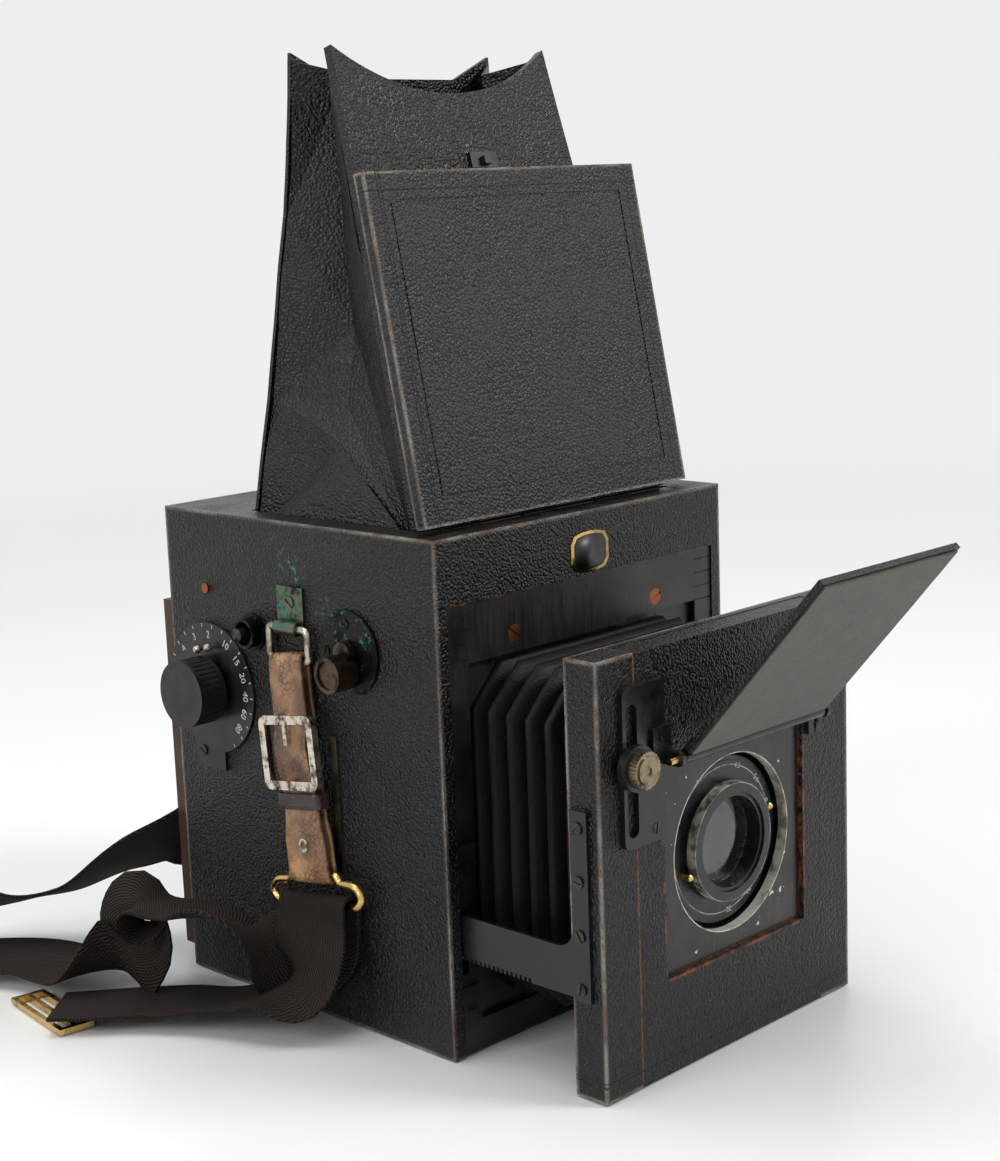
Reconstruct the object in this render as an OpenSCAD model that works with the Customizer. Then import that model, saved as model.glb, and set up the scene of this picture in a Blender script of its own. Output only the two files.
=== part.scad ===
// Box-form reflex camera with a folding hood, a lid, a front on bellows and a revolving back.
// Millimetres. Origin at the tripod bush on the underside, +Z up, the lens looks along -Y.
// The shutter controls are on the -X side.

/* [Case] */
// width over the leather
case_w = 156; // [150:1:162]
// depth from the front to the wooden back
case_d = 152; // [148:1:158]
// height over the leather
case_h = 190; // [186:1:196]
// thickness of the wooden walls
wall = 8; // [7.5:0.5:9]

/* [Front standard] */
// gap between the case and the back of the standard
focus_gap = 51.6; // [48:0.2:56]
// width of the standard
std_w = 140.4; // [139:0.2:141]
// height of the standard
std_h = 154.2; // [150:0.2:158]
// thickness of the standard
std_t = 14.15; // [13.5:0.05:16]

/* [Lens] */
// radius of the aperture ring
ring_r = 30.5; // [28:0.1:31.5]
// radius of the glass seen in the front ring
glass_r = 16.7; // [14:0.1:18]

/* [Flap] */
// length of the flap from its hinge
flap_len = 88; // [80:0.5:92]
// width of the flap
flap_w = 79; // [74:0.5:79]
// lean of the flap from upright
flap_lean = 41; // [30:1:55]

/* [Lid and hood] */
// length of the lid
lid_len = 126.8; // [120:0.2:128]
// lean of the open lid from upright
lid_lean = 11.1; // [8:0.1:13]
// height of the hood's corners above the floor
hood_top = 360; // [340:1:366]

/* [Shutter side] */
// radius of the speed dial plate
dial_r = 25.9; // [23:0.1:26]
// radius of the winding knob
wind_r = 13.1; // [11:0.1:14]
// radius of the release plate
release_r = 15.6; // [14:0.1:16]

/* [Hidden] */

lt = 1;                       // leather
xs = case_w / 2;              // side faces over the leather
yf = -case_d / 2;             // front face
yb = case_d / 2;              // wooden back
xi = xs - lt - wall;          // inner faces of the sides
bt = 9;                       // top of the bottom board
run = 0.05;                   // radial clearance of a running fit
fr_x = xs - 5.3;              // half width of the front frame
fr_t = 5.7;                   // its thickness
fr_y = yf + 0.8;              // its front face
fr_top = case_h - 24;         // its top
op_x = 62.9;                  // half width of the front opening
op_z0 = 12;                   // its lower edge
op_z1 = fr_top - 22;          // its upper edge
top_x = xs - 11.2;            // half width of the opening in the top
top_y0 = yf + 17.3;             // its front edge
top_y1 = yb - 39.5;             // its back edge
bz = 77.5;                    // middle of the back

// the standard
sz0 = 0.5;
sz1 = sz0 + std_h;
sb = yf - focus_gap;          // back of the standard
sf = sb - std_t;              // face of the standard
sx = std_w / 2;
px0 = -51.4;                  // sides of the rising panel
px1 = 52.4;
lens_x = 2.5;
lens_z = 75;
rec = 39.6;                   // half size of the recess

// the rack and pinion
mod = 0.7;
pin_n = 14;
pitch = PI * mod;
shaft_y = yf + 12.5;
rack_z = 37.7;                // pitch line of the rack
shaft_z = rack_z - mod * pin_n / 2 - 0.03;
shaft_r = 2.5;
arm_x = sx;                   // inner face of the arms
arm_t = 1.5;

// the mirror and the screen
mir_y = yb - 26;
mir_z = case_h - 55;
mir_len = (mir_y - fr_y - 45.3) * sqrt(2);                // kept short of the front frame
screen_z = case_h - 32;

// the shutter
wind_y = yb - 24.1;
wind_z = case_h - 69.6;
rol_r = 6;
rol_y = wind_y + 9.1;
rol_z = wind_z + sqrt(28.05 * 28.05 - 9.1 * 9.1);
low_y = rol_y + 1;
low_z = 17;
low_r = 5;
g_m = 1;
g_a = 22;
g_i = 12;
g_b = 12;
gd1 = (g_a + g_i) / 2 * g_m + 0.05;
gd2 = (g_i + g_b) / 2 * g_m + 0.05;
g_dir = atan2(rol_z - wind_z, rol_y - wind_y);
g_dist = 28.05;
g_in = acos((gd1 * gd1 + g_dist * g_dist - gd2 * gd2) / (2 * gd1 * g_dist));
id_y = wind_y + gd1 * cos(g_dir - g_in);
id_z = wind_z + gd1 * sin(g_dir - g_in);
g_dir1 = atan2(id_z - wind_z, id_y - wind_y);
g_dir2 = atan2(rol_z - id_z, rol_y - id_y);
gear_x = -xi + 1;             // outer face of the gears is 1 inside the wall

// side fittings, in y from the middle of the case
rel_y = -30.3;
rel_z = case_h - 44.9;
btn_y = 24.6;
btn_z = case_h - 44;
lug_y = 1.2;
lug_z = case_h - 39.2;        // eye of the lug
dr_z = lug_z - 12.2;          // lower bar of the small ring

// the lid and the hood
lid_y = yf + 13.8;
lid_z = case_h - 0.5;
lid_x0 = -72.6;
lid_x1 = 68.6;
hood_z0 = case_h - 9;
hf_y = yf + 20;               // front of the hood where it leaves the case
hf_lean = 15.1;
hood_x0 = 66;
hood_x1 = 55;
flap_y = sf - 7.8;
flap_z = 116.5;
stud_x = -55.2;               // stud and slot of the rising panel

// the neck strap: points on its middle line, each with the direction of its width
web_w = 38;
web_t = 1.6;
route = [
  [81, -12, 43.5, 0, -0.99, 0.14], [82.2, -12, 50.3, 0, -0.99, 0.14], [86.7, -12, 50.3, 0, -0.99, 0.14],
  [88.2, -12, 44, 0, -0.99, 0.14], [92, -11, 33, 0, -0.99, 0.1], [98, -4, 24, 0.1, -0.85, -0.5],
  [102, 16, 21, 0.1, -0.3, -0.95], [105, 45, 22.5, 0.1, 0, -1], [104, 85, 28, 0.2, 0, -1],
  [78, 112, 36, 0, 0.1, -1], [30, 118, 44, 0, 0, -1], [-25, 112, 47, 0.2, 0.1, -0.95],
  [-62, 102, 47, 0.5, 0.45, -0.7], [-82, 112, 40, 0.5, 0.6, -0.6], [-98, 130, 27, 0.52, 0.79, -0.4],
  [-112, 146, 23, 0.52, 0.79, -0.33], [-128, 160, 24, 0.5, 0.6, -0.6], [-152, 168, 26, 0.3, 0.3, -0.9],
  [-178, 168, 24, -0.2, 0.2, -0.95], [-185, 156, 18, -0.7, 0.2, -0.5], [-170, 150, 9, -0.6, -0.75, -0.1],
  [-144, 142, 7, -0.45, -0.88, 0], [-126, 120, 7, -0.85, -0.5, 0], [-121, 92, 7, -0.98, -0.1, 0],
  [-119, 73, 12.5, -0.75, 0.66, 0.1], [-113, 66, 20, -0.2, 0.97, -0.1], [-112, 69, 31, -0.1, 0.98, 0],
  [-111, 66, 37, 0.35, 0.93, -0.1], [-106, 54, 37, 0.57, 0.8, -0.12], [-102, 38, 37, 0.62, 0.75, -0.15],
  [-100.5, 15, 37, 0.75, 0.35, -0.4], [-87.5, 1, 25.5, 0.2, 0.3, 0.93], [-81.2, -9, 32.5, 0, 0.7, 0.7],
  [-81, -12, 43.5, 0, 0.99, -0.14], [-82.2, -12, 50.3, 0, 0.99, -0.14], [-86.7, -12, 50.3, 0, 0.99, -0.14],
  [-88.2, -12, 44, 0, 0.99, -0.14], [-91, -13, 33, -0.05, 0.99, -0.1], [-94, -10, 20, 0.1, 0.97, -0.15],
  [-98.5, 2, 14, 0.25, 0.93, -0.3], [-105, 20, 8, 0.6, 0.78, -0.2], [-114, 36, 6, 0.68, 0.72, -0.1],
  [-124, 50, 5, 0.66, 0.74, -0.1], [-136, 62, 4.5, 0.5, 0.86, -0.1], [-147, 73, 4.5, 0.2, 0.97, -0.1]];
function rt(i) = route[max(0, min(len(route) - 1, i))];
function bend(i, t) = let (a = rt(i - 1), b = rt(i), c = rt(i + 1), d = rt(i + 2))
  0.5 * (2 * b + (c - a) * t + (2 * a - 5 * b + 4 * c - d) * t * t + (3 * b - 3 * c + d - a) * t * t * t);
web = concat([for (i = [0 : len(route) - 2]) for (t = [0, 0.5]) bend(i, t)], [rt(len(route) - 1)]);
function xyz(v, o = 0) = [v[o], v[o + 1], v[o + 2]];
function web_ring(i) = let (p = xyz(web[i]), t = xyz(web[min(len(web) - 1, i + 1)] - web[max(0, i - 1)]) , u = t / norm(t),
  w0 = xyz(web[i], 3), w1 = w0 - (w0 * u) * u, w = w1 / norm(w1) * web_w / 2, n = cross(u, w1 / norm(w1)) * web_t / 2)
  [for (q = [[1, -0.4], [1, 0.4], [0.96, 1], [0, 1], [-0.96, 1], [-1, 0.4], [-1, -0.4], [-0.96, -1], [0, -1], [0.96, -1]])
    p + q[0] * w + q[1] * n];

walnut = [0.36, 0.22, 0.12];
black = [0.07, 0.07, 0.07];
hide = [0.12, 0.10, 0.09];
brass = [0.72, 0.56, 0.28];
nickel = [0.75, 0.73, 0.68];
tan_l = [0.50, 0.30, 0.16];

// a box from one corner to the other
module bx(a, b) translate(a) cube(b - a);
// a cylinder along X, from x0 to x1
module cx(x0, x1, y, z, r, n = 64) translate([x0, y, z]) rotate([0, 90, 0]) cylinder(r = r, h = x1 - x0, $fn = n);
// a cylinder along Y, from y0 to y1
module cy(y0, y1, x, z, r, n = 64) translate([x, y1, z]) rotate([90, 0, 0]) cylinder(r = r, h = y1 - y0, $fn = n);
module both() { children(); mirror([1, 0, 0]) children(); }
// a slotted screw head with its face towards -Y, face at y
module sy(x, y, z, r, t = 1, a = 20) difference() {
  cy(y, y + t, x, z, r, 40);
  translate([x, y, z]) rotate([0, a, 0]) cube([2 * r + 1, 0.8, r * 0.3], center = true);
}
// a slotted screw head with its face towards -X, face at x
module sxs(x, y, z, r, t = 1, a = 20) difference() {
  cx(x, x + t, y, z, r, 40);
  translate([x, y, z]) rotate([a, 0, 0]) cube([0.8, 2 * r + 1, r * 0.3], center = true);
}

// outline of a gear with slim teeth, one tooth centred on angle a
module gear2(n, m, a = 0) {
  r = n * m / 2;
  w = PI * m * 0.4;
  polygon([for (k = [0 : n - 1]) for (q = [[r - 1.25 * m, -0.6], [r, -0.5], [r + 0.85 * m, -0.24],
    [r + 0.85 * m, 0.24], [r, 0.5], [r - 1.25 * m, 0.6]])
    let (t = a + 360 * k / n + q[1] * w / q[0] * 180 / PI) q[0] * [cos(t), sin(t)]]);
}
// a gear along X; angles run from +Y towards +Z
module gx(x0, x1, y, z, n, m, a) translate([x0, y, z]) rotate([90, 0, 90]) linear_extrude(x1 - x0) gear2(n, m, a);

// case
module case_carcass() color(walnut) difference() {
  bx([-xs + lt, yf + lt, 0], [xs - lt, yb, case_h - lt]);
  // inside, and the high part behind the front board
  bx([-xi, yf - 1, bt], [xi, yb - 8, fr_top]);
  bx([-xi, yf + 9, bt], [xi, yb - 8, case_h - lt - wall]);
  // rebate for the front frame
  bx([-fr_x - 0.05, yf - 1, 0.3], [fr_x + 0.05, fr_y + fr_t, fr_top + 0.05]);
  // hood opening
  bx([-top_x, top_y0, case_h - wall - 3], [top_x, top_y1, case_h + 1]);
  // groove of the lid's hinge
  cx(-62, 62, lid_y, lid_z, 1.9, 40);
  // window of the back
  bx([-50, yb - 10, bz - 50], [50, yb + 1, bz + 50]);
  // channels for the arms and room for the pinions
  both() {
    bx([arm_x - 2, yf - 1, 36], [arm_x + arm_t + 0.5, yf + 90, 55]);
    cx(arm_x - 1.4, arm_x + arm_t + 0.6, shaft_y, shaft_z, 6.4);
  }
  cx(-xs + 3, xs + 1, shaft_y, shaft_z, shaft_r + run);
  // shafts of the shutter side
  cx(-xs - 1, -xi + 1, wind_y, wind_z, 3 + run);
  cx(-xs + 3, -xi + 1, id_y, id_z, 1.5 + run);
  cx(-xs + 3, xs - 3, rol_y, rol_z, 2 + run);
  cx(-xs + 3, xs - 3, low_y, low_z, 2 + run);
  cx(-xs - 1, -xi + 1, btn_y, btn_z, 2.6);
  cx(-xs - 1, -xi + 1, rel_y, rel_z, 2.5 + run);
  cx(-xs + 3, xs - 3, mir_y, mir_z, 2 + run);
  translate([0, 0, -1]) cylinder(r = 8, h = bt + 2, $fn = 64);
}

module case_leather() color(hide) difference() {
  bx([-xs, yf, 0.3], [xs, yb, case_h]);
  bx([-xs + lt, yf + lt, -1], [xs - lt, yb + 1, case_h - lt]);
  bx([-fr_x - 0.05, yf - 1, -1], [fr_x + 0.05, yf + lt + 1, fr_top + 0.05]);
  bx([-top_x, top_y0, case_h - 3], [top_x, top_y1, case_h + 1]);
  bx([-60.1, lid_y - 9.1, case_h - 0.65], [60.1, top_y0 + 0.1, case_h + 1]);
  cx(-62, 62, lid_y, lid_z, 1.9, 40);
  cx(xs - 2, xs + 1, shaft_y, shaft_z, shaft_r + 0.3);
  cx(-xs - 1, -xs + 2, wind_y, wind_z, 3.3);
  cx(-xs - 1, -xs + 2, btn_y, btn_z, 2.8);
  cx(-xs - 1, -xs + 2, rel_y, rel_z, 2.8);
}

module front_frame() color(black) difference() {
  bx([-fr_x, fr_y, 0.35], [fr_x, fr_y + fr_t - 0.1, fr_top]);
  bx([-op_x, fr_y - 1, op_z0], [op_x, fr_y + 2.7, op_z1]);
  // the lip that holds the bellows
  bx([-51, fr_y - 1, 26], [51, fr_y + fr_t + 1, 134]);
  both() bx([arm_x - 1.6, fr_y - 1, 31], [arm_x + arm_t + 0.6, fr_y + fr_t + 1, 55]);
  // finger joints of the corners
  both() for (k = [0 : 3]) bx([-fr_x - 1, fr_y - 1, fr_top - 4.4 - k * 5.4], [-op_x, fr_y + 0.4, fr_top - 4 - k * 5.4]);
  // the rail steps down at the right
  bx([22, fr_y - 1, op_z1 - 1], [op_x, fr_y + 2.7, op_z1 + 1.6]);
  both() cy(fr_y - 1, fr_y + 1, 39, op_z1 + 7, 3.25);
}
module tripod_bush() color(brass) difference() {
  cylinder(r = 8, h = bt, $fn = 64);
  translate([0, 0, -1]) cylinder(r = 4.76, h = bt + 2, $fn = 64);
}

module guide_plates() color(black) both() difference() {
  union() {
    bx([-fr_x, fr_y - 1, 58.5], [-fr_x + 8.3, fr_y, 79.4]);
    bx([-fr_x, fr_y - 1, 5], [-fr_x + 8.3, fr_y, 26.6]);
  }
  cy(fr_y - 2, fr_y + 1, -fr_x + 3.4, 69.2, 2.25);
  cy(fr_y - 2, fr_y + 1, -fr_x + 4.1, 18, 2.25);
}
// screws of the front frame and the guide plates, and the nail in the side
module case_screws() color(nickel) {
  sy(-39, fr_y, op_z1 + 7, 3.2, 1, 35);
  sy(39, fr_y, op_z1 + 7, 3.2, 1, -20);
  both() {
    sy(-fr_x + 3.4, fr_y - 1.2, 69.2, 2.2, 1.2, 60);
    sy(-fr_x + 4.1, fr_y - 1.2, 18, 2.2, 1.2, 10);
  }
  cx(-xs - 0.8, -xs, yb - 23.3, case_h - 30.3, 2, 32);
}

// focusing
module focus_shaft() color(brass) {
  cx(-xs + 3.3, xs + 6, shaft_y, shaft_z, shaft_r);
  both() gx(arm_x - 0.9, arm_x + arm_t + 0.3, shaft_y, shaft_z, pin_n, mod, 90 + 180 / pin_n);
}
module focus_knob() color(brass) difference() {
  union() {
    cx(xs + 0.6, xs + 3, shaft_y, shaft_z, 9);
    difference() {
      cx(xs + 3, xs + 14, shaft_y, shaft_z, 14, 96);
      for (k = [0 : 35]) translate([xs + 2.5, shaft_y, shaft_z]) rotate([k * 10, 0, 0])
        translate([0, 14.4, 0]) rotate([0, 90, 0]) cylinder(r = 0.8, h = 9, $fn = 8);
    }
  }
  cx(xs, xs + 6, shaft_y, shaft_z, shaft_r);
}

arm_y0 = sb - 9.4;
module arm2() difference() {
  union() {
    translate([arm_y0, 37]) square([shaft_y + 36 - arm_y0, 17]);
    translate([arm_y0, 36]) square([7.4, 67.5]);
    difference() {
      translate([arm_y0 + 7, 53]) square([8, 8.6]);
      translate([arm_y0 + 15, 61.6]) circle(r = 7.6, $fn = 64);
    }
  }
  // gaps between the rack teeth, one tooth of the rack stands over the pinion's gap
  for (k = [-21 : 15]) translate([shaft_y + (k + 0.5) * pitch, rack_z])
    polygon([[-0.6 * pitch + 0.2, -2], [-0.4 * pitch, -0.7], [-0.3 * pitch, 0], [-0.22 * pitch, 0.95],
      [0.22 * pitch, 0.95], [0.3 * pitch, 0], [0.4 * pitch, -0.7], [0.6 * pitch - 0.2, -2]]);
}
module rack_arms() color([0.30, 0.28, 0.24]) both() translate([-arm_x - arm_t, 0, 0]) rotate([90, 0, 90])
  linear_extrude(arm_t) difference() {
    arm2();
    for (z = [97.4, 78.6, 59.5, 40.5]) translate([arm_y0 + 4, z]) circle(r = 1.55, $fn = 32);
  }
module arm_screws() color(nickel) both() for (z = [97.4, 78.6, 59.5, 40.5]) {
  sxs(-arm_x - arm_t - 0.7, arm_y0 + 4, z, 2.2, 0.7, z * 7);
  cx(-arm_x - arm_t, -arm_x, arm_y0 + 4, z, 1.5, 32);
}

// bellows: outer and inner rings of eight corners, pleated
bel_n = 12;
bel_y0 = sb + 0.4;
bel_y1 = fr_y + 2.4;
function bel_ring(i, t) = let (d = (i % 2 == 0 ? 7 : 0) + t, w = 60 - d, h = 62 - d, c = 15 - d * 0.5,
  y = bel_y0 + (bel_y1 - bel_y0) * i / bel_n)
  [for (q = [[w, h - c], [w - c, h], [-w + c, h], [-w, h - c], [-w, -h + c], [-w + c, -h], [w - c, -h], [w, -h + c]])
    [q[0], y, 80 + q[1]]];
module bellows() color(black) polyhedron(
  points = concat([for (i = [0 : bel_n]) each bel_ring(i, 0)], [for (i = [0 : bel_n]) each bel_ring(i, 0.8)]),
  faces = concat(
    [for (i = [0 : bel_n - 1]) for (k = [0 : 7]) let (a = i * 8 + k, b = i * 8 + (k + 1) % 8) each [[a, b + 8, b], [a, a + 8, b + 8]]],
    [for (i = [0 : bel_n - 1]) for (k = [0 : 7]) let (o = (bel_n + 1) * 8, a = o + i * 8 + k, b = o + i * 8 + (k + 1) % 8)
      each [[a, b, b + 8], [a, b + 8, a + 8]]],
    [for (k = [0 : 7]) let (o = (bel_n + 1) * 8, a = k, b = (k + 1) % 8) each [[a, b, b + o], [a, b + o, a + o]]],
    [for (k = [0 : 7]) let (o = (bel_n + 1) * 8, a = bel_n * 8 + k, b = bel_n * 8 + (k + 1) % 8) each [[a, b + o, b], [a, a + o, b + o]]]));

// standard
groove = 3;
module standard_frame() color(hide) difference() {
  bx([-sx, sf, sz0], [sx, sb, sz1]);
  // way of the rising panel with grooves for its tongues
  bx([px0 - 0.1, sf - 1, sz0 - 1], [px1 + 0.1, sb - 3.5, sz1 + 1]);
  bx([px0 - groove - 0.1, sb - 7.5, sz0 - 1], [px1 + groove + 0.1, sb - 3.5, sz1 + 1]);
  bx([-50, sb - 4, 27], [50, sb + 1, 133]);
  cy(sf - 1, sf + 6.2, stud_x, flap_z + 0.1, 2.4, 40);
}
module rising_panel() color(hide) difference() {
  union() {
    bx([px0, sf, sz0 + 0.2], [px1, sb - 3.6, sz1 - 0.2]);
    bx([px0 - groove, sb - 7.4, sz0 + 0.2], [px1 + groove, sb - 3.6, sz1 - 0.2]);
  }
  bx([lens_x - rec, sf - 1, lens_z - rec], [lens_x + rec, sf + 6, lens_z + rec]);
  bx([lens_x - 36, sf - 1, lens_z - 36], [lens_x + 36, sb, lens_z + 36]);
}
module lens_board() color(black) difference() {
  bx([lens_x - rec + 0.1, sf + 2, lens_z - rec + 0.1], [lens_x + rec - 0.1, sf + 6, lens_z + rec - 0.1]);
  cy(sf, sf + 8, lens_x, lens_z, 32.4, 96);
}
module lens_cup() color(black) difference() {
  union() {
    cy(sf + 6, sf + 7.6, lens_x, lens_z, 35.8, 96);
    cy(sf + 6, sf + 17, lens_x, lens_z, 33.4, 96);
  }
  cy(sf + 5, sf + 15, lens_x, lens_z, 32.4, 96);
  cy(sf + 5, sf + 18, lens_x, lens_z, 24 + run, 96);
}
module lens_barrel() color(black) difference() {
  union() {
    cy(sf + 1.35, sf + 5, lens_x, lens_z, 21.7, 128);
    cy(sf + 5, sf + 30, lens_x, lens_z, 22, 96);
    cy(sf + 14.9, sf + 17, lens_x, lens_z, 24, 96);
    cy(sf + 17, sf + 19, lens_x, lens_z, 27, 96);
    cy(sf + 30, sf + 33, lens_x, lens_z, 20, 96);
  }
  cy(sf + 1, sf + 34, lens_x, lens_z, glass_r, 96);
  cy(sf + 1, sf + 2.2, lens_x, lens_z, glass_r + 1.5, 96);
}
module aperture_ring() color(black) difference() {
  union() {
    cy(sf + 6.85, sf + 14.5, lens_x, lens_z, ring_r, 128);
    cy(sf + 6.55, sf + 6.9, lens_x, lens_z, ring_r - 1.6, 128);
  }
  cy(sf + 4, sf + 18, lens_x, lens_z, 22 + run, 96);
  // index notch
  translate([lens_x, sf + 6.5, lens_z]) rotate([0, -149, 0]) bx([ring_r - 5, -1, -0.4], [ring_r + 1, 0.6, 0.4]);
}
module finger_pins() color(brass) for (a = [18, 198]) translate([lens_x + 24.3 * cos(a), sf + 6.55, lens_z + 24.3 * sin(a)])
  rotate([90, 0, 0]) { cylinder(r = 1.3, h = 4.2, $fn = 32); translate([0, 0, 4.2]) cylinder(r1 = 1.3, r2 = 0.7, h = 0.6, $fn = 32); }
module lens_glass() color([0.3, 0.35, 0.4]) {
  intersection() {
    cy(sf + 5.9, sf + 12, lens_x, lens_z, glass_r, 96);
    translate([lens_x, sf + 5.95 + 60, lens_z]) sphere(r = 60, $fn = 96);
  }
  cy(sf + 26, sf + 30, lens_x, lens_z, glass_r, 96);
}

module slot_plate() color([0.16, 0.14, 0.12]) difference() {
  union() {
    bx([-56.7, sf - 2, 88], [-38, sf, 144]);
    bx([-59.7, sf - 2, 91], [-56, sf, 141]);
    for (z = [91, 141]) cy(sf - 2, sf, -56.7, z, 3, 40);
  }
  hull() for (z = [94.75, 135.25]) cy(sf - 3, sf + 1, stud_x, z, 2.75, 32);
  for (q = [[-43, 139.6], [-43.5, 92.6]]) cy(sf - 3, sf + 1, q[0], q[1], 2.05, 32);
}
module plate_screws() color(nickel) {
  sy(-43, sf - 2.2, 139.6, 2, 2.2, 15);
  sy(-43.5, sf - 2.2, 92.6, 2, 2.2, 100);
  sy(-41.4, sf - 4.2, 124.6, 1.8, 0.6, 60);
  sy(49.6, sf - 2.2, 109.2, 1.8, 0.6, 20);
}
module stud_collar() color(nickel) {
  cy(sf - 8.3, sf + 6, stud_x, flap_z + 0.1, 2.4, 40);
  difference() {
    cy(sf - 5.4, sf - 2.05, stud_x, flap_z + 0.1, 8, 64);
    cy(sf - 6, sf - 2, stud_x, flap_z + 0.1, 2.4, 40);
  }
}
module clamp_nut() color(brass) difference() {
  union() {
    cy(sf - 8.9, sf - 5.5, stud_x, flap_z + 0.1, 6.5, 64);
    cy(sf - 9.5, sf - 8.9, stud_x, flap_z + 0.1, 5, 64);
  }
  for (k = [0 : 27]) translate([stud_x, sf - 5, flap_z + 0.1]) rotate([0, k * 360 / 28, 0]) translate([6.7, 0, 0])
    rotate([90, 0, 0]) cylinder(r = 0.5, h = 5, $fn = 8);
  cy(sf - 10, sf - 9.1, stud_x, flap_z + 0.1, 1.2, 32);
  cy(sf - 8.5, sf - 5, stud_x, flap_z + 0.1, 2.4 + run, 40);
}

// flap: built lying along +Z from its hinge line, then leaned forward
lug_x0 = -46;
lug_x1 = -36.6;
rod_r = 1.2;
module flap_brackets() color([0.2, 0.18, 0.16]) difference() {
  union() {
    // the left lug stands on the slot plate
    bx([lug_x0, sf - 3.6, 118], [lug_x1, sf - 2, 128]);
    bx([44.2, sf - 1.6, 106], [52.2, sf, 118]);
    bx([lug_x1 - 2.2, flap_y, flap_z - 2.6], [lug_x1, sf - 2.05, flap_z + 2.6]);
    bx([44.2, flap_y, flap_z - 2.6], [46.4, sf, flap_z + 2.6]);
    for (x = [lug_x1 - 2.2, 44.2]) cx(x, x + 2.2, flap_y, flap_z, 2.6, 40);
  }
  cx(lug_x0 - 1, lug_x1 + 1, flap_y, flap_z, rod_r, 32);
  cx(42, 48, flap_y, flap_z, rod_r, 32);
  bx([47.6, sf - 2, 105], [48.4, sf - 0.8, 112]);
}
module flap_rod() color(brass) cx(lug_x0 + 3, 48.2, flap_y, flap_z, rod_r, 32);
module leaned() translate([0, flap_y, flap_z]) rotate([flap_lean, 0, 0]) children();
fl0 = 3.5 - flap_w / 2;
fl1 = fl0 + flap_w;
module flap_board() color(hide) leaned() bx([fl0, -0.7, 3.2], [fl1, 1.5, flap_len]);
module flap_lining() color([0.33, 0.31, 0.25]) leaned() bx([fl0 + 1.2, -1.5, 3.2], [fl1 - 1.2, -0.72, flap_len - 1.2]);
module flap_leaf() color([0.2, 0.18, 0.16]) leaned() difference() {
  union() {
    cx(fl0 + 0.3, fl1 - 0.3, 0, 0, 2.2, 40);
    bx([fl0 + 0.3, 1.52, 0], [fl1 - 0.3, 2.2, 9]);
  }
  cx(fl0 - 1, fl1 + 1, 0, 0, rod_r + run, 32);
}

// lid: built closed along +Y, then turned up
module opened() translate([0, lid_y, lid_z]) rotate([90 - lid_lean, 0, 0]) children();
module lid_board() color(hide) opened() difference() {
  union() {
    bx([lid_x0, 2, 0.6], [lid_x1, lid_len, 5.5]);
    bx([lid_x0 + 2, 10.5, 0.55], [lid_x1 - 2, lid_len - 2, 0.7]);
  }
  cx(-62, 62, 0, 0, 1.75, 40);
  // tooled lines
  difference() {
    bx([lid_x0 + 10, 11.6, 5.2], [lid_x1 - 10, lid_len - 10, 6]);
    bx([lid_x0 + 11, 12.6, 5], [lid_x1 - 11, lid_len - 11, 7]);
  }
}
// knuckles of the case and of the lid take turns along the pin
knuckles = [-60, -20, 20];
module lid_hinge() color([0.2, 0.18, 0.16]) {
  difference() {
    union() {
      bx([-60, lid_y - 9, case_h - 0.6], [60, lid_y - 1.9, case_h - 0.05]);
      for (x = knuckles) {
        cx(x, x + 18, lid_y, lid_z, 1.4, 32);
        bx([x, lid_y - 2.2, case_h - 0.6], [x + 18, lid_y, case_h - 0.05]);
      }
    }
    cx(-70, 70, lid_y, lid_z, 0.7, 24);
  }
  cx(-60, 58, lid_y, lid_z, 0.7, 24);
}
module lid_leaf() color([0.2, 0.18, 0.16]) opened() difference() {
  union() for (x = knuckles) {
    cx(x + 18.2, x + 38, 0, 0, 1.4, 32);
    bx([x + 18.2, 0, 0], [x + 38, 10, 0.55]);
  }
  cx(-70, 70, 0, 0, 0.7 + run, 24);
}

// hood
module hood_front() color([0.16, 0.14, 0.12]) translate([0, hf_y - 2.4, hood_z0]) rotate([-hf_lean, 0, 0])
  rotate([90, 0, 0]) translate([0, 0, -4]) linear_extrude(4) difference() {
    polygon([[-hood_x0, 0], [hood_x0, 0], [hood_x1, (hood_top - hood_z0) / cos(hf_lean)], [-hood_x1, (hood_top - hood_z0) / cos(hf_lean)]]);
    translate([0, (hood_top - hood_z0) / cos(hf_lean) - 17.5 + 95]) circle(r = 95, $fn = 128);
  }
// a leather sheet: points, triangles, the points round its edge, and its thickness along d
module skin(p, t, e, d) polyhedron(points = concat(p, [for (q = p) q + d]), faces = concat(t,
  [for (f = t) [for (i = f) i + len(p)][0] == undef ? [] : [f[2] + len(p), f[1] + len(p), f[0] + len(p)]],
  [for (i = [0 : len(e) - 1]) let (a = e[i], b = e[(i + 1) % len(e)]) each [[b, a, a + len(p)], [b, a + len(p), b + len(p)]]]));
// heights drawn for a hood that rises 170 above the case
ht = (hood_top - case_h) / 170;
function hz(z) = case_h + (z - 190) * ht;
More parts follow.
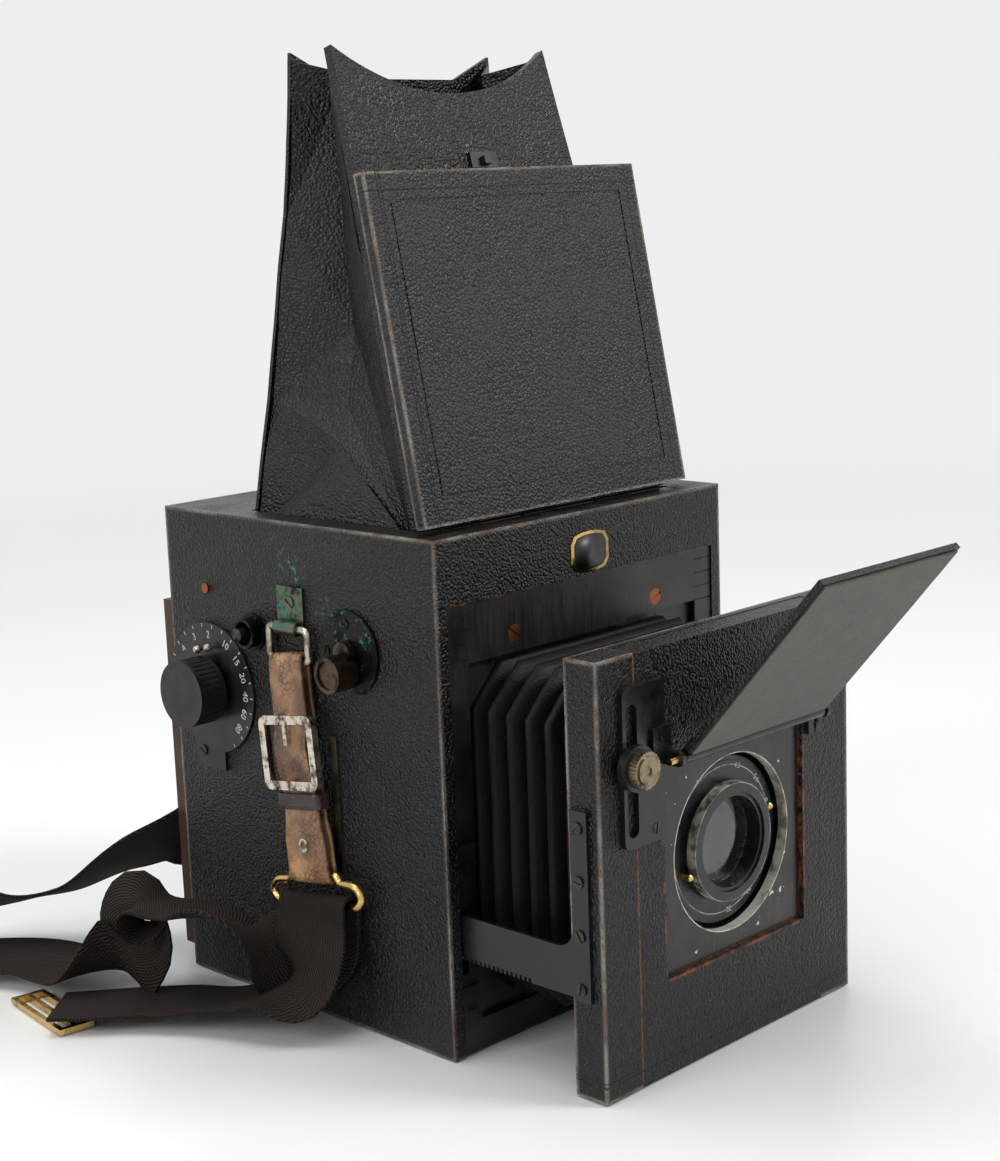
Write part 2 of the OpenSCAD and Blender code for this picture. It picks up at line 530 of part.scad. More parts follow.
// rows of the rear wall: y, z, half width, then the cut of its top edge
hr = [[top_y1 - 0.4, hood_z0, 65], [top_y1 - 0.6, case_h, 65], [top_y1 - 7.5, hz(233), 61.5], [top_y1 - 16.5, hz(301), 56], [top_y1 - 18.5, hz(343), 53]];
module hood_rear() color([0.14, 0.12, 0.11]) skin(
  concat([for (r = hr) each [[-r[2], r[0], r[1]], [0, r[0], r[1]], [r[2], r[0], r[1]]]],
    [[-51.5, top_y1 - 18.5, hz(359)], [-32, top_y1 - 18.5, hz(350)], [32, top_y1 - 18.5, hz(350)], [51.5, top_y1 - 18.5, hz(359)]]),
  concat([for (i = [0 : 3]) for (k = [0 : 1]) let (a = i * 3 + k) each [[a, a + 4, a + 1], [a, a + 3, a + 4]]],
    [[12, 15, 16], [12, 16, 13], [13, 16, 17], [13, 17, 14], [14, 17, 18]]),
  [0, 3, 6, 9, 12, 15, 16, 17, 18, 14, 11, 8, 5, 2, 1], [0, -1.6, 0]);
// the side gusset folds inwards on its middle crease
gs = [[-65.8, yf + 22, hood_z0], [-65.8, top_y1 - 2.4, hood_z0], [-53.8, -6.6, hz(356)], [-51.4, top_y1 - 20.6, hz(356)],
  [-36, 4, hz(351)], [-45, -4, hz(258)], [-52, -7, hz(230)], [-58, -8, hz(218)], [-65.8, -46, case_h], [-65.8, 14, case_h],
  [-60.9, top_y1 - 9.6, hz(233)], [-55.6, top_y1 - 18.6, hz(301)]];
module gusset() skin(gs, [[0, 8, 7], [0, 7, 6], [0, 6, 5], [0, 5, 2], [2, 5, 4], [1, 7, 9], [1, 10, 7], [10, 6, 7], [10, 5, 6],
  [10, 11, 5], [11, 4, 5], [11, 3, 4], [8, 9, 7], [0, 1, 9], [0, 9, 8]], [0, 2, 4, 3, 11, 10, 1], [1.2, 0, 0]);
module hood_gussets() color([0.2, 0.17, 0.15]) both() gusset();
module hood_catch() color([0.25, 0.23, 0.2]) translate([8, hf_y - 2.4, hood_z0]) rotate([-hf_lean, 0, 0]) {
  bx([-7, -1.2, (hz(318) - hood_z0) / cos(hf_lean) - 3], [7, -0.05, (hz(318) - hood_z0) / cos(hf_lean) + 3]);
  bx([-2, -3.4, (hz(318) - hood_z0) / cos(hf_lean) - 2], [2, -1.2, (hz(318) - hood_z0) / cos(hf_lean) + 1]);
}

// screen and mirror
module focus_screen() color([0.75, 0.78, 0.76]) bx([-56, yf + 25, screen_z], [56, yb - 27, screen_z + 2.4]);
module screen_frame() color(black) difference() {
  bx([-xi + 0.1, yf + 9.5, screen_z - 5], [xi - 0.1, yb - 23, screen_z + 5]);
  bx([-53, yf + 28, screen_z - 6], [53, yb - 30, screen_z + 6]);
  bx([-56.1, yf + 24.9, screen_z - 0.05], [56.1, yb - 26.9, screen_z + 6]);
}
module mirrored() translate([0, mir_y, mir_z]) rotate([45, 0, 0]) children();
module mirror_frame() color([0.25, 0.22, 0.2]) {
  mirrored() difference() {
    bx([-58, -mir_len, -2], [58, 4, 2]);
    bx([-54, -mir_len + 3, 0.1], [54, -5, 3]);
  }
  cx(-xs + 3.4, -57, mir_y, mir_z, 2, 32);
  cx(57, xs - 3.4, mir_y, mir_z, 2, 32);
}
module mirror_glass() color([0.8, 0.82, 0.84]) mirrored() bx([-53.9, -mir_len + 3.1, 0.12], [53.9, -5.1, 1.95]);

// shutter
module shutter_dial() color([0.1, 0.1, 0.1]) difference() {
  union() {
    cx(-xs - 1.2, -xs, wind_y, wind_z, dial_r, 128);
    bx([-xs - 1.2, wind_y - 6, wind_z - 33], [-xs, wind_y + 12, wind_z - 20]);
    sxs(-xs - 1.9, wind_y + 7.2, wind_z - 26.4, 2.2, 0.7, 30);
  }
  cx(-xs - 2, -xs + 1, wind_y, wind_z, 3.3, 40);
}
module dial_pins() color(nickel) for (q = [[wind_y + 3.5, wind_z + 15.4], [wind_y - 3.2, wind_z + 16.9]])
  translate([-xs - 1.2, q[0], q[1]]) rotate([0, -90, 0]) rotate_extrude($fn = 40)
    polygon([[0, 0], [0.9, 0], [0.9, 1.7], [1.5, 2.3], [1.65, 3.2], [1.4, 4], [0.8, 4.5], [0, 4.7]]);
module winding_knob() color([0.14, 0.11, 0.1]) {
  difference() {
    union() {
      cx(-xs - 16, -xs - 4, wind_y, wind_z, wind_r, 96);
      cx(-xs - 4, -xs - 1.5, wind_y, wind_z, 7, 64);
    }
    for (k = [0 : 35]) translate([-xs - 14.5, wind_y, wind_z]) rotate([k * 10, 0, 0]) translate([0, wind_r + 0.35, 0])
      rotate([0, 90, 0]) cylinder(r = 0.8, h = 9, $fn = 8);
  }
  cx(-xs - 1.5, gear_x, wind_y, wind_z, 3, 48);
  gx(gear_x, gear_x + 2, wind_y, wind_z, g_a, g_m, 0);
}
function mesh_a(na, nb, dir, a) = dir + 180 - 360 / nb * (0.5 - (dir - a) / (360 / na));
ph_i = mesh_a(g_a, g_i, g_dir1, 0);
ph_b = mesh_a(g_i, g_b, g_dir2, ph_i);
module idler_gear() color(brass) {
  gx(gear_x, gear_x + 2, id_y, id_z, g_i, g_m, ph_i);
  cx(-xs + 3.3, gear_x, id_y, id_z, 1.5, 32);
}
module upper_roller() color([0.3, 0.3, 0.3]) {
  gx(gear_x, gear_x + 2, rol_y, rol_z, g_b, g_m, ph_b);
  cx(-xs + 3.3, xs - 3.3, rol_y, rol_z, 2, 32);
  cx(-63, 63, rol_y, rol_z, rol_r, 64);
}
module lower_roller() color([0.3, 0.3, 0.3]) {
  cx(-xs + 3.3, xs - 3.3, low_y, low_z, 2, 32);
  cx(-63, 63, low_y, low_z, low_r, 64);
}
module curtain() color([0.05, 0.05, 0.05]) difference() {
  union() {
    bx([-61, rol_y + rol_r + 0.1, low_z], [61, rol_y + rol_r + 0.5, rol_z]);
    difference() {
      cx(-61, 61, rol_y, rol_z, rol_r + 0.5, 64);
      cx(-62, 62, rol_y, rol_z, rol_r + 0.1, 64);
      bx([-62, rol_y - 9, rol_z - 9], [62, rol_y + 9, rol_z]);
    }
    difference() {
      cx(-61, 61, low_y, low_z, low_r + 0.5, 64);
      cx(-62, 62, low_y, low_z, low_r + 0.1, 64);
      bx([-62, low_y - 9, low_z], [62, low_y + 9, low_z + 9]);
    }
  }
  bx([-52, rol_y, 40], [52, rol_y + 9, 43]);
}
module button_cup() color(nickel) difference() {
  union() {
    cx(-xs - 1, -xs, btn_y, btn_z, 7.2, 64);
    cx(-xs - 5.5, -xs - 1, btn_y, btn_z, 5.8, 64);
  }
  cx(-xs - 6, -xs - 1, btn_y, btn_z, 4.6, 48);
  cx(-xs - 2, -xs + 1, btn_y, btn_z, 2.6, 32);
}
module plunger() color(nickel) {
  cx(-xs - 8.5, -xi + 2, btn_y, btn_z, 2.55, 32);
  translate([-xs - 8.5, btn_y, btn_z]) rotate([0, -90, 0]) cylinder(r1 = 2.55, r2 = 1.6, h = 0.9, $fn = 32);
}
module release_plate() color([0.25, 0.2, 0.12]) difference() {
  union() {
    cx(-xs - 1.2, -xs, rel_y, rel_z, release_r, 96);
    for (q = [[1, 10.5], [-10.5, -0.4], [12, -0.5], [1.3, -12]]) sxs(-xs - 1.6, rel_y + q[0], rel_z + q[1], 1.9, 0.5, q[0] * 9);
  }
  cx(-xs - 2, -xs + 1, rel_y, rel_z, 2.5 + run, 40);
}
module release_lever() color([0.28, 0.18, 0.1]) {
  cx(-xs - 4.5, -xi + 3, rel_y, rel_z, 2.5, 40);
  cx(-xs - 4.5, -xs - 1.7, rel_y, rel_z, 4.5, 48);
  bx([-xs - 4.5, rel_y - 3, rel_z - 6.5], [-xs - 2.4, rel_y + 3, rel_z]);
  difference() {
    cx(-xs - 12, -xs - 2.4, rel_y, rel_z - 6.4, 6.7, 64);
    cx(-xs - 13, -xs - 11.2, rel_y, rel_z - 6.4, 5.2, 64);
  }
}

// fittings of both sides
module side_plates() color(nickel) {
  both() difference() {
    union() {
      bx([-xs - 1.2, lug_y - 7.3, lug_z + 1.2], [-xs, lug_y + 7.3, lug_z + 15.2]);
      cy(lug_y - 6, lug_y + 6, -xs - 2.6, lug_z, 2.6, 48);
      bx([-xs - 1.2, lug_y - 6, lug_z - 0.8], [-xs, lug_y + 6, lug_z + 3.2]);
      sxs(-xs - 1.8, lug_y, lug_z + 9.2, 2.4, 0.6, 40);
    }
    cy(lug_y - 7, lug_y + 7, -xs - 2.6, lug_z, 1.6, 40);
  }
  // guard strip
  bx([-xs - 1.2, -21, 60], [-xs, -17, 112]);
}
ring_x = -xs - 2.6;
module bar(a, b, r) hull() { translate(a) sphere(r = r, $fn = 12); translate(b) sphere(r = r, $fn = 12); }
module wire(p, r) for (i = [0 : len(p) - 2]) bar(p[i], p[i + 1], r);
// the tab hangs from the lower bar of the small ring, leaning a little; children are drawn from that bar downwards
module hung() both() translate([ring_x, lug_y, dr_z]) rotate([-8.2, 2.4, 0]) children();
module at_ring() both() translate([ring_x, lug_y, dr_z]) children();
big_r = 1.6;                  // wire of the large ring
big = [[-12.5, -80.5], [-14, -83.4], [-22, -84], [-25.2, -87], [-25.2, -89.4], [-22.4, -92]];
// the small ring of the lug and the large ring for the webbing
module strap_rings() color(brass) {
  both() wire([for (q = [[-11, 0], [11, 0], [11, 12.2], [-11, 12.2], [-11, 0]]) [ring_x, lug_y + q[0], dr_z + q[1]]], 1.5);
  hung() wire([for (q = concat(big, [for (i = [5 : -1 : 0]) [-big[i][0], big[i][1]]], [big[0]])) [0, q[0], q[1]]], big_r);
}
// the leather tab: a loop over the small ring's bar, two layers, a keeper and the fold round the large ring
module strap_tabs() color(tan_l) difference() {
  union() {
    at_ring() cy(-9.4, 9.4, 0, 0, 2.5, 48);
    hung() {
      bx([-3.4, -9.4, -80], [-1.5, 9.4, 0]);
      bx([0.4, -9.4, -80], [1.9, 9.4, -1]);
      bx([-5.2, -9.2, -42], [-3.3, 9.2, -26]);
      bx([-4.8, -11.6, -55.5], [1.9, 11.6, -49.5]);
      bx([-3.4, -11.2, -83.4], [1.9, 11.2, -66]);
    }
  }
  at_ring() cy(-12, 12, 0, 0, 1.7, 48);
  hung() {
    cy(-13, 13, 0, -80.5, big_r + 0.2, 48);
    cx(-4, -2.4, 0, -69.2, 1.5, 32);
  }
}
module tab_buckles() color(nickel) hung() {
  difference() {
    union() {
      bx([-6.2, -15.3, -44.4], [-3.5, 15.3, -23.6]);
      bx([-6.2, -11.7, -48], [-3.5, 11.7, -20]);
      for (s = [-1, 1]) for (z = [-44.4, -23.6]) cx(-6.2, -3.5, s * 11.7, z, 3.6, 48);
    }
    bx([-7, -12, -44.6], [-3, 12, -23.4]);
  }
  translate([-6.4, 0, -31]) cylinder(r = 0.9, h = 9, $fn = 24);
  difference() {
    cx(-4, -3.45, 0, -69.2, 2.6, 40);
    cx(-5, -3, 0, -69.2, 1.5, 32);
  }
}
// the webbing, laid through points on its middle line; the last three numbers of each say how its width lies
module neck_strap() color([0.13, 0.11, 0.1]) {
  m = len(web);
  polyhedron(points = [for (i = [0 : m - 1]) each web_ring(i)],
    faces = concat([[for (k = [0 : 9]) k]], [[for (k = [9 : -1 : 0]) (m - 1) * 10 + k]],
      [for (i = [0 : m - 2]) for (k = [0 : 9]) let (a = i * 10 + k, b = i * 10 + (k + 1) % 10) each [[a, a + 10, b], [b, a + 10, b + 10]]]));
}
module strap_slider() color(brass) translate([-147, 76.5, 1.5]) rotate([0, 0, -8]) difference() {
  union() {
    bx([-7, -21.6, -1.1], [7, 21.6, 1.1]);
  }
  bx([-5, -19.4, -2], [-0.9, 19.4, 2]);
  bx([0.9, -19.4, -2], [5, 19.4, 2]);
}
// back
module back_ring() color(black) difference() {
  cy(yb, yb + 2.2, 0, bz, 69.6, 128);
  cy(yb - 1, yb + 3, 0, bz, 67.2, 128);
}
module revolving_frame() color([0.3, 0.18, 0.1]) difference() {
  bx([-71.5, yb + 0.3, bz - 72.5], [71.5, yb + 14, bz + 72.5]);
  cy(yb - 1, yb + 2.4, 0, bz, 69.6 + run, 128);
  // the corners are eased in front, so that they pass the dial
  difference() {
    cy(yb - 1, yb + 1.9, 0, bz, 120, 128);
    cy(yb - 2, yb + 2.2, 0, bz, 75.5, 128);
  }
  bx([-41.5, yb - 1, bz - 54], [41.5, yb + 15, bz + 54]);
  bx([-48, yb + 6, bz - 64], [48, yb + 15, bz + 73]);
}
module plate_holder() color([0.1, 0.09, 0.08]) difference() {
  bx([-47.8, yb + 6.1, bz - 63.8], [47.8, yb + 13.6, bz + 72.3]);
  bx([-41, yb + 5, bz - 53.5], [41, yb + 10.5, bz + 53.5]);
  bx([-43.1, yb + 7.2, bz - 57], [43.1, yb + 8.9, bz + 74]);
}
module dark_slide() color(black) {
  bx([-43, yb + 7.3, bz - 56.8], [43, yb + 8.7, bz + 78]);
  bx([-12, yb + 6.6, bz + 74], [12, yb + 9.4, bz + 84]);
}

case_carcass();
case_leather();
front_frame();
case_screws();
tripod_bush();
guide_plates();
focus_shaft();
focus_knob();
rack_arms();
arm_screws();
bellows();
standard_frame();
rising_panel();
lens_board();
lens_cup();
lens_barrel();
aperture_ring();
finger_pins();
lens_glass();
slot_plate();
plate_screws();
stud_collar();
clamp_nut();
flap_brackets();
flap_rod();
flap_board();
flap_lining();
flap_leaf();
lid_board();
lid_hinge();
lid_leaf();
hood_front();
hood_rear();
hood_gussets();
hood_catch();
focus_screen();
screen_frame();
mirror_frame();
mirror_glass();
shutter_dial();
dial_pins();
winding_knob();
idler_gear();
upper_roller();
lower_roller();
curtain();
button_cup();
plunger();
release_plate();
release_lever();
side_plates();
strap_rings();
strap_tabs();
tab_buckles();
neck_strap();
strap_slider();
back_ring();
revolving_frame();
plate_holder();
dark_slide();
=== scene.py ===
# %% [markdown]
# # A box-form reflex camera
# The camera stands with its hood up, its lid open and its front drawn out on the bellows. The hard parts come
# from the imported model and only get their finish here. Leather, webbing and the folding hood are modelled
# in this file, because a stiff solid can't show how they bend.

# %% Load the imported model
import math

import bmesh
import bpy
from mathutils import Matrix, Vector, noise


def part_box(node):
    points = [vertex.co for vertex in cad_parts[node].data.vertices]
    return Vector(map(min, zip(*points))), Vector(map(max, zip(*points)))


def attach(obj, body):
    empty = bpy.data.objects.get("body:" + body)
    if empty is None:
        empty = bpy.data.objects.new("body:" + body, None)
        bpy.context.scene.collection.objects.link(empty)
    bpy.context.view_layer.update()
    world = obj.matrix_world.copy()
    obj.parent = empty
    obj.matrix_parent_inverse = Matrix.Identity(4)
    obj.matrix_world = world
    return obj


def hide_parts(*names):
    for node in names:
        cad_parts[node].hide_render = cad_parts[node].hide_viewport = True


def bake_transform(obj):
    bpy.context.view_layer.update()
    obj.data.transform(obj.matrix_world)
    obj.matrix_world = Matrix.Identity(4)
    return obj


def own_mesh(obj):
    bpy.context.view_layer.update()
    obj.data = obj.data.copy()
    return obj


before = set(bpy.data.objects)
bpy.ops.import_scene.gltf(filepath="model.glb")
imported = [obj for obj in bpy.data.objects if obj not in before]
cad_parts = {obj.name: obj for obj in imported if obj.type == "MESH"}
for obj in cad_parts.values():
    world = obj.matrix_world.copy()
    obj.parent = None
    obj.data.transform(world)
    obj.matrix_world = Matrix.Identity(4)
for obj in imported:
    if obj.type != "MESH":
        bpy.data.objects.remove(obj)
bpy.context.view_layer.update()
MM = 0.001

# %% [markdown]
# ## The camera that takes the picture
# A view is fixed by where the eye stands and how it is turned. Yaw, pitch and roll are turned into three
# directions, and these are the columns of the camera's matrix. The lens follows from the picture's frame of
# 1000 x 1161: Blender measures the 36 mm of film along the longer side.

# %% Camera
EYE = Vector((-0.55527, -0.58057, 0.30907))
YAW, PITCH, ROLL = 0.7899, 0.1899, -0.0378
FOCAL_MM, FILM_MM, NEAREST = 63.95, 36, 0.01

ahead = Vector((math.sin(YAW) * math.cos(PITCH), math.cos(YAW) * math.cos(PITCH), -math.sin(PITCH)))
level = Vector((math.cos(YAW), -math.sin(YAW), 0))
above = level.cross(ahead)
right = math.cos(ROLL) * level + math.sin(ROLL) * above
up = -math.sin(ROLL) * level + math.cos(ROLL) * above

lens = bpy.data.cameras.new("photo_view")
lens.lens, lens.sensor_width, lens.clip_start = FOCAL_MM, FILM_MM, NEAREST
eye = bpy.data.objects.new("photo_view", lens)
turn = Matrix((right, up, -ahead)).transposed().to_4x4()
eye.matrix_world = Matrix.Translation(EYE) @ turn
bpy.context.scene.collection.objects.link(eye)
bpy.context.scene.camera = eye
bpy.context.scene.view_settings.view_transform = "Standard"
print("camera", [round(v, 3) for v in EYE])

# %% [markdown]
# ## Small helpers for meshes
# Most soft pieces here are lofts: closed rings of points, each ring joined to the next. The two ends can be
# filled, left open, or joined to each other. A finished piece keeps its place in its mesh, so patterns that
# are worked out from its coordinates stay where they are.

# %% Mesh helpers
def new_piece(name, points, faces):
    mesh = bpy.data.meshes.new(name)
    mesh.from_pydata([tuple(p) for p in points], [], faces)
    mesh.validate()
    piece = bpy.data.objects.new(name, mesh)
    bpy.context.scene.collection.objects.link(piece)
    for face in mesh.polygons:
        face.use_smooth = True
    return piece


def loft(name, rings, ends=True, closed_path=False):
    n, m = len(rings[0]), len(rings)
    faces = []
    for i in range(m if closed_path else m - 1):
        a, b = i * n, ((i + 1) % m) * n
        for k in range(n):
            j = (k + 1) % n
            faces.append((a + k, a + j, b + j, b + k))
    if ends and not closed_path:
        faces += [tuple(range(n))[::-1], tuple((m - 1) * n + k for k in range(n))]
    piece = new_piece(name, [p for ring in rings for p in ring], faces)
    point_outwards(piece)
    return piece


def point_outwards(piece):
    bm = bmesh.new()
    bm.from_mesh(piece.data)
    bmesh.ops.remove_doubles(bm, verts=bm.verts, dist=1e-6)
    bmesh.ops.recalc_face_normals(bm, faces=bm.faces)
    bm.to_mesh(piece.data)
    bm.free()


def finish_modifiers(piece):
    """Keeps what the modifiers make and drops the modifiers."""
    bpy.context.view_layer.update()
    seen = piece.evaluated_get(bpy.context.evaluated_depsgraph_get())
    mesh = bpy.data.meshes.new_from_object(seen)
    piece.modifiers.clear()
    piece.data = mesh
    return piece


LONGEST_EDGE, WELD_WITHIN = 7 * MM, 2e-5               # longer edges are cut and closer points are joined


def copy_of(node, name, cuts=0):
    """A welded copy of a CAD node's mesh, for a soft piece that starts from the node's form."""
    piece = bpy.data.objects.new(name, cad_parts[node].data.copy())
    bpy.context.scene.collection.objects.link(piece)
    bm = bmesh.new()
    bm.from_mesh(piece.data)
    bmesh.ops.remove_doubles(bm, verts=bm.verts, dist=WELD_WITHIN)
    for _ in range(cuts):
        long_edges = [e for e in bm.edges if e.calc_length() > LONGEST_EDGE]
        bmesh.ops.subdivide_edges(bm, edges=long_edges, cuts=1, use_grid_fill=True)
        bmesh.ops.triangulate(bm, faces=bm.faces)
    bm.to_mesh(piece.data)
    bm.free()
    return piece


def catmull(rows, i, t):
    """A point of the smooth curve through rows; rows may hold more than three numbers."""
    a, b, c, d = (rows[max(0, min(len(rows) - 1, j))] for j in (i - 1, i, i + 1, i + 2))
    return [0.5 * (2 * q + (r - p) * t + (2 * p - 5 * q + 4 * r - s) * t * t + (3 * q - 3 * r + s - p) * t ** 3)
            for p, q, r, s in zip(a, b, c, d)]

# %% [markdown]
# ## The neck strap
# The strap is one length of flat woven webbing, 38 mm wide. It hangs from the ring on the far side, passes
# behind the camera, folds, comes back through the brass slider and hangs from the near ring. Each row of the
# route holds a point on its middle line in millimetres and the direction in which the width lies there.
# A swept mesh is used instead of a curve because the width turns freely about the line.

# %% Route of the webbing
WEB_W, WEB_T = 38 * MM, 1.6 * MM
WEB_ROUTE = [
    (81, -12, 43.5, 0, -0.99, 0.14), (82.2, -12, 50.3, 0, -0.99, 0.14), (86.7, -12, 50.3, 0, -0.99, 0.14),
    (88.2, -12, 44, 0, -0.99, 0.14), (92, -11, 33, 0, -0.99, 0.1), (98, -4, 24, 0.1, -0.85, -0.5),
    (102, 16, 21, 0.1, -0.3, -0.95), (105, 45, 22.5, 0.1, 0, -1), (104, 85, 28, 0.2, 0, -1),
    (78, 112, 36, 0, 0.1, -1), (30, 118, 44, 0, 0, -1), (-25, 112, 47, 0.2, 0.1, -0.95),
    (-62, 102, 47, 0.5, 0.45, -0.7), (-82, 112, 40, 0.5, 0.6, -0.6), (-98, 130, 27, 0.52, 0.79, -0.4),
    (-112, 146, 23, 0.52, 0.79, -0.33), (-128, 160, 24, 0.5, 0.6, -0.6), (-152, 168, 26, 0.3, 0.3, -0.9),
    (-178, 168, 24, -0.2, 0.2, -0.95), (-185, 156, 18, -0.7, 0.2, -0.5), (-170, 150, 9, -0.6, -0.75, -0.1),
    (-144, 142, 7, -0.45, -0.88, 0), (-126, 120, 7, -0.85, -0.5, 0), (-121, 92, 7, -0.98, -0.1, 0),
    (-119, 73, 12.5, -0.75, 0.66, 0.1), (-113, 66, 20, -0.2, 0.97, -0.1), (-112, 69, 31, -0.1, 0.98, 0),
    (-111, 66, 37, 0.35, 0.93, -0.1), (-106, 54, 37, 0.57, 0.8, -0.12), (-102, 38, 37, 0.62, 0.75, -0.15),
    (-100.5, 15, 37, 0.75, 0.35, -0.4), (-87.5, 1, 25.5, 0.2, 0.3, 0.93), (-81.2, -9, 32.5, 0, 0.7, 0.7),
    (-81, -12, 43.5, 0, 0.99, -0.14), (-82.2, -12, 50.3, 0, 0.99, -0.14), (-86.7, -12, 50.3, 0, 0.99, -0.14),
    (-88.2, -12, 44, 0, 0.99, -0.14), (-91, -13, 33, -0.05, 0.99, -0.1), (-94, -10, 20, 0.1, 0.97, -0.15),
    (-98.5, 2, 14, 0.25, 0.93, -0.3), (-105, 20, 8, 0.6, 0.78, -0.2), (-114, 36, 6, 0.68, 0.72, -0.1),
    (-124, 50, 5, 0.66, 0.74, -0.1), (-136, 62, 4.5, 0.5, 0.86, -0.1), (-147, 73, 4.5, 0.2, 0.97, -0.1),
]


def web_line(steps):
    rows = []
    for i in range(len(WEB_ROUTE) - 1):
        rows += [catmull(WEB_ROUTE, i, k / steps) for k in range(steps)]
    return rows + [[float(v) for v in WEB_ROUTE[-1]]]


web_rows = web_line(steps=6)
web_mid = [Vector(r[:3]) * MM for r in web_rows]
web_length = sum((b - a).length for a, b in zip(web_mid, web_mid[1:]))
print("webbing", round(web_length, 3), "m")

# %% The webbing as a mesh
# across the width: the selvedges are a little thicker than the middle
WEB_SECTION = [(-1, 0.25), (-0.985, 0.8), (-0.94, 0.95), (-0.88, 0.72), (-0.45, 0.7), (0, 0.7)]
WEB_SECTION += [(-u, v) for u, v in reversed(WEB_SECTION[:-1])]


def web_rings():
    rings = []
    for i, row in enumerate(web_rows):
        along = (web_mid[min(i + 1, len(web_mid) - 1)] - web_mid[max(i - 1, 0)]).normalized()
        width = Vector(row[3:])
        width = (width - width.dot(along) * along).normalized()
        thick = along.cross(width)
        top = [web_mid[i] + width * u * WEB_W / 2 + thick * v * WEB_T / 2 for u, v in WEB_SECTION]
        under = [web_mid[i] + width * u * WEB_W / 2 - thick * v * WEB_T / 2 for u, v in reversed(WEB_SECTION)]
        rings.append(top + under)
    return rings


webbing = loft("neck_webbing", web_rings())
for v in webbing.data.vertices:
    v.co.z = max(v.co.z, 0.0)                          # it lies on the floor and never under it


def unwrap_along(piece, rings_count, per_ring, length, width):
    """U runs along the strip in metres and V across it, so that a weave follows the strip."""
    layer = piece.data.uv_layers.new(name="strip")
    for loop in piece.data.loops:
        ring, k = divmod(loop.vertex_index, per_ring)
        half = per_ring // 2
        across = WEB_SECTION[k][0] if k < half else WEB_SECTION[per_ring - 1 - k][0]
        layer.data[loop.index].uv = (ring / rings_count * length, across * width / 2)


unwrap_along(webbing, len(web_rows), 2 * len(WEB_SECTION), web_length, WEB_W)
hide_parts("neck_strap")
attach(webbing, "case")

# %% [markdown]
# ## Finishes
# Each material starts from what the real surface is. Colours are written as hex values as a painter's chart
# gives them, and one function turns them to the linear numbers that the shader wants. The others add a node,
# set it and link it, so that each finish reads as a short recipe. Patterns are sized in millimetres.

# %% Colour and node helpers
def colour(hex_value):
    parts = [int(hex_value[i:i + 2], 16) / 255 for i in (1, 3, 5)]
    return [c / 12.92 if c <= 0.04045 else ((c + 0.055) / 1.055) ** 2.4 for c in parts] + [1]


def feed(node, inputs):
    """Sets inputs of a node; each is a value, or the output of another node to link."""
    for key, value in inputs.items():
        if isinstance(value, bpy.types.NodeSocket):
            node.id_data.links.new(value, node.inputs[key])
        else:
            node.inputs[key].default_value = value


def add(tree, kind, inputs, **settings):
    made = tree.nodes.new(kind)
    for key, value in settings.items():
        setattr(made, key, value)
    feed(made, inputs)
    return made


def ramp(value, low, high, a=0.0, b=1.0):
    """value from low to high becomes a to b, smoothly, and stays inside them."""
    given = {"Value": value, "From Min": low, "From Max": high, "To Min": a, "To Max": b}
    return add(value.id_data, "ShaderNodeMapRange", given, interpolation_type="SMOOTHSTEP").outputs[0]


def math_of(operation, a, b=0.0, c=0.0):
    tree = next(v for v in (a, b) if isinstance(v, bpy.types.NodeSocket)).id_data
    return add(tree, "ShaderNodeMath", {0: a, 1: b, 2: c}, operation=operation).outputs[0]


def times(a, b):
    return math_of("MULTIPLY", a, b)


def split(place):
    return add(place.id_data, "ShaderNodeSeparateXYZ", {0: place}).outputs


def blend_colours(share, a, b):
    """a where share is 0 and b where it is 1; each is a hex value or the output of a node."""
    a, b = (colour(v) if isinstance(v, str) else v for v in (a, b))
    return add(share.id_data, "ShaderNodeMix", {0: share, 6: a, 7: b}, data_type="RGBA").outputs[2]


def give(piece, material):
    """The piece gets this finish and no other."""
    piece.data.materials.clear()
    piece.data.materials.append(material)


def start(name):
    """A new material with its shader, and the place of each point in metres."""
    material = bpy.data.materials.new(name)
    material.use_nodes = True
    shader = material.node_tree.nodes["Principled BSDF"]
    place = add(material.node_tree, "ShaderNodeTexCoord", {}).outputs["Object"]
    return material, shader, place


def grain(place, size_mm, detail=3.0, rough=0.55):
    """A noise whose spots are about size_mm apart."""
    given = {"Vector": place, "Scale": 1000 / size_mm, "Detail": detail, "Roughness": rough}
    return add(place.id_data, "ShaderNodeTexNoise", given).outputs["Fac"]


def raised(height, depth_mm, strength=1.0):
    """Bends the light as if the surface stood depth_mm higher where height is 1."""
    given = {"Height": height, "Distance": depth_mm * MM, "Strength": strength}
    return add(height.id_data, "ShaderNodeBump", given).outputs[0]


def near_edges(place, low, high, reach):
    """1 at the edges of a box that is given in metres, and 0 further from them than reach."""
    parts = split(place)
    gaps = []
    for i in range(3):
        a = math_of("SUBTRACT", parts[i], low[i])
        b = math_of("SUBTRACT", high[i], parts[i])
        gaps.append(math_of("ABSOLUTE", math_of("MINIMUM", a, b)))
    pairs = [math_of("ADD", gaps[i], gaps[j]) for i in range(len(gaps)) for j in range(i)]
    least = pairs[0]
    for pair in pairs[1:]:
        least = math_of("MINIMUM", least, pair)
    return ramp(least, 0.0, reach, 1.0, 0.0)


def on_line(value, at, half):
    """1 where value is at, and 0 further from it than half."""
    away = math_of("ABSOLUTE", math_of("SUBTRACT", value, at))
    return ramp(away, half * 0.4, half, 1.0, 0.0)


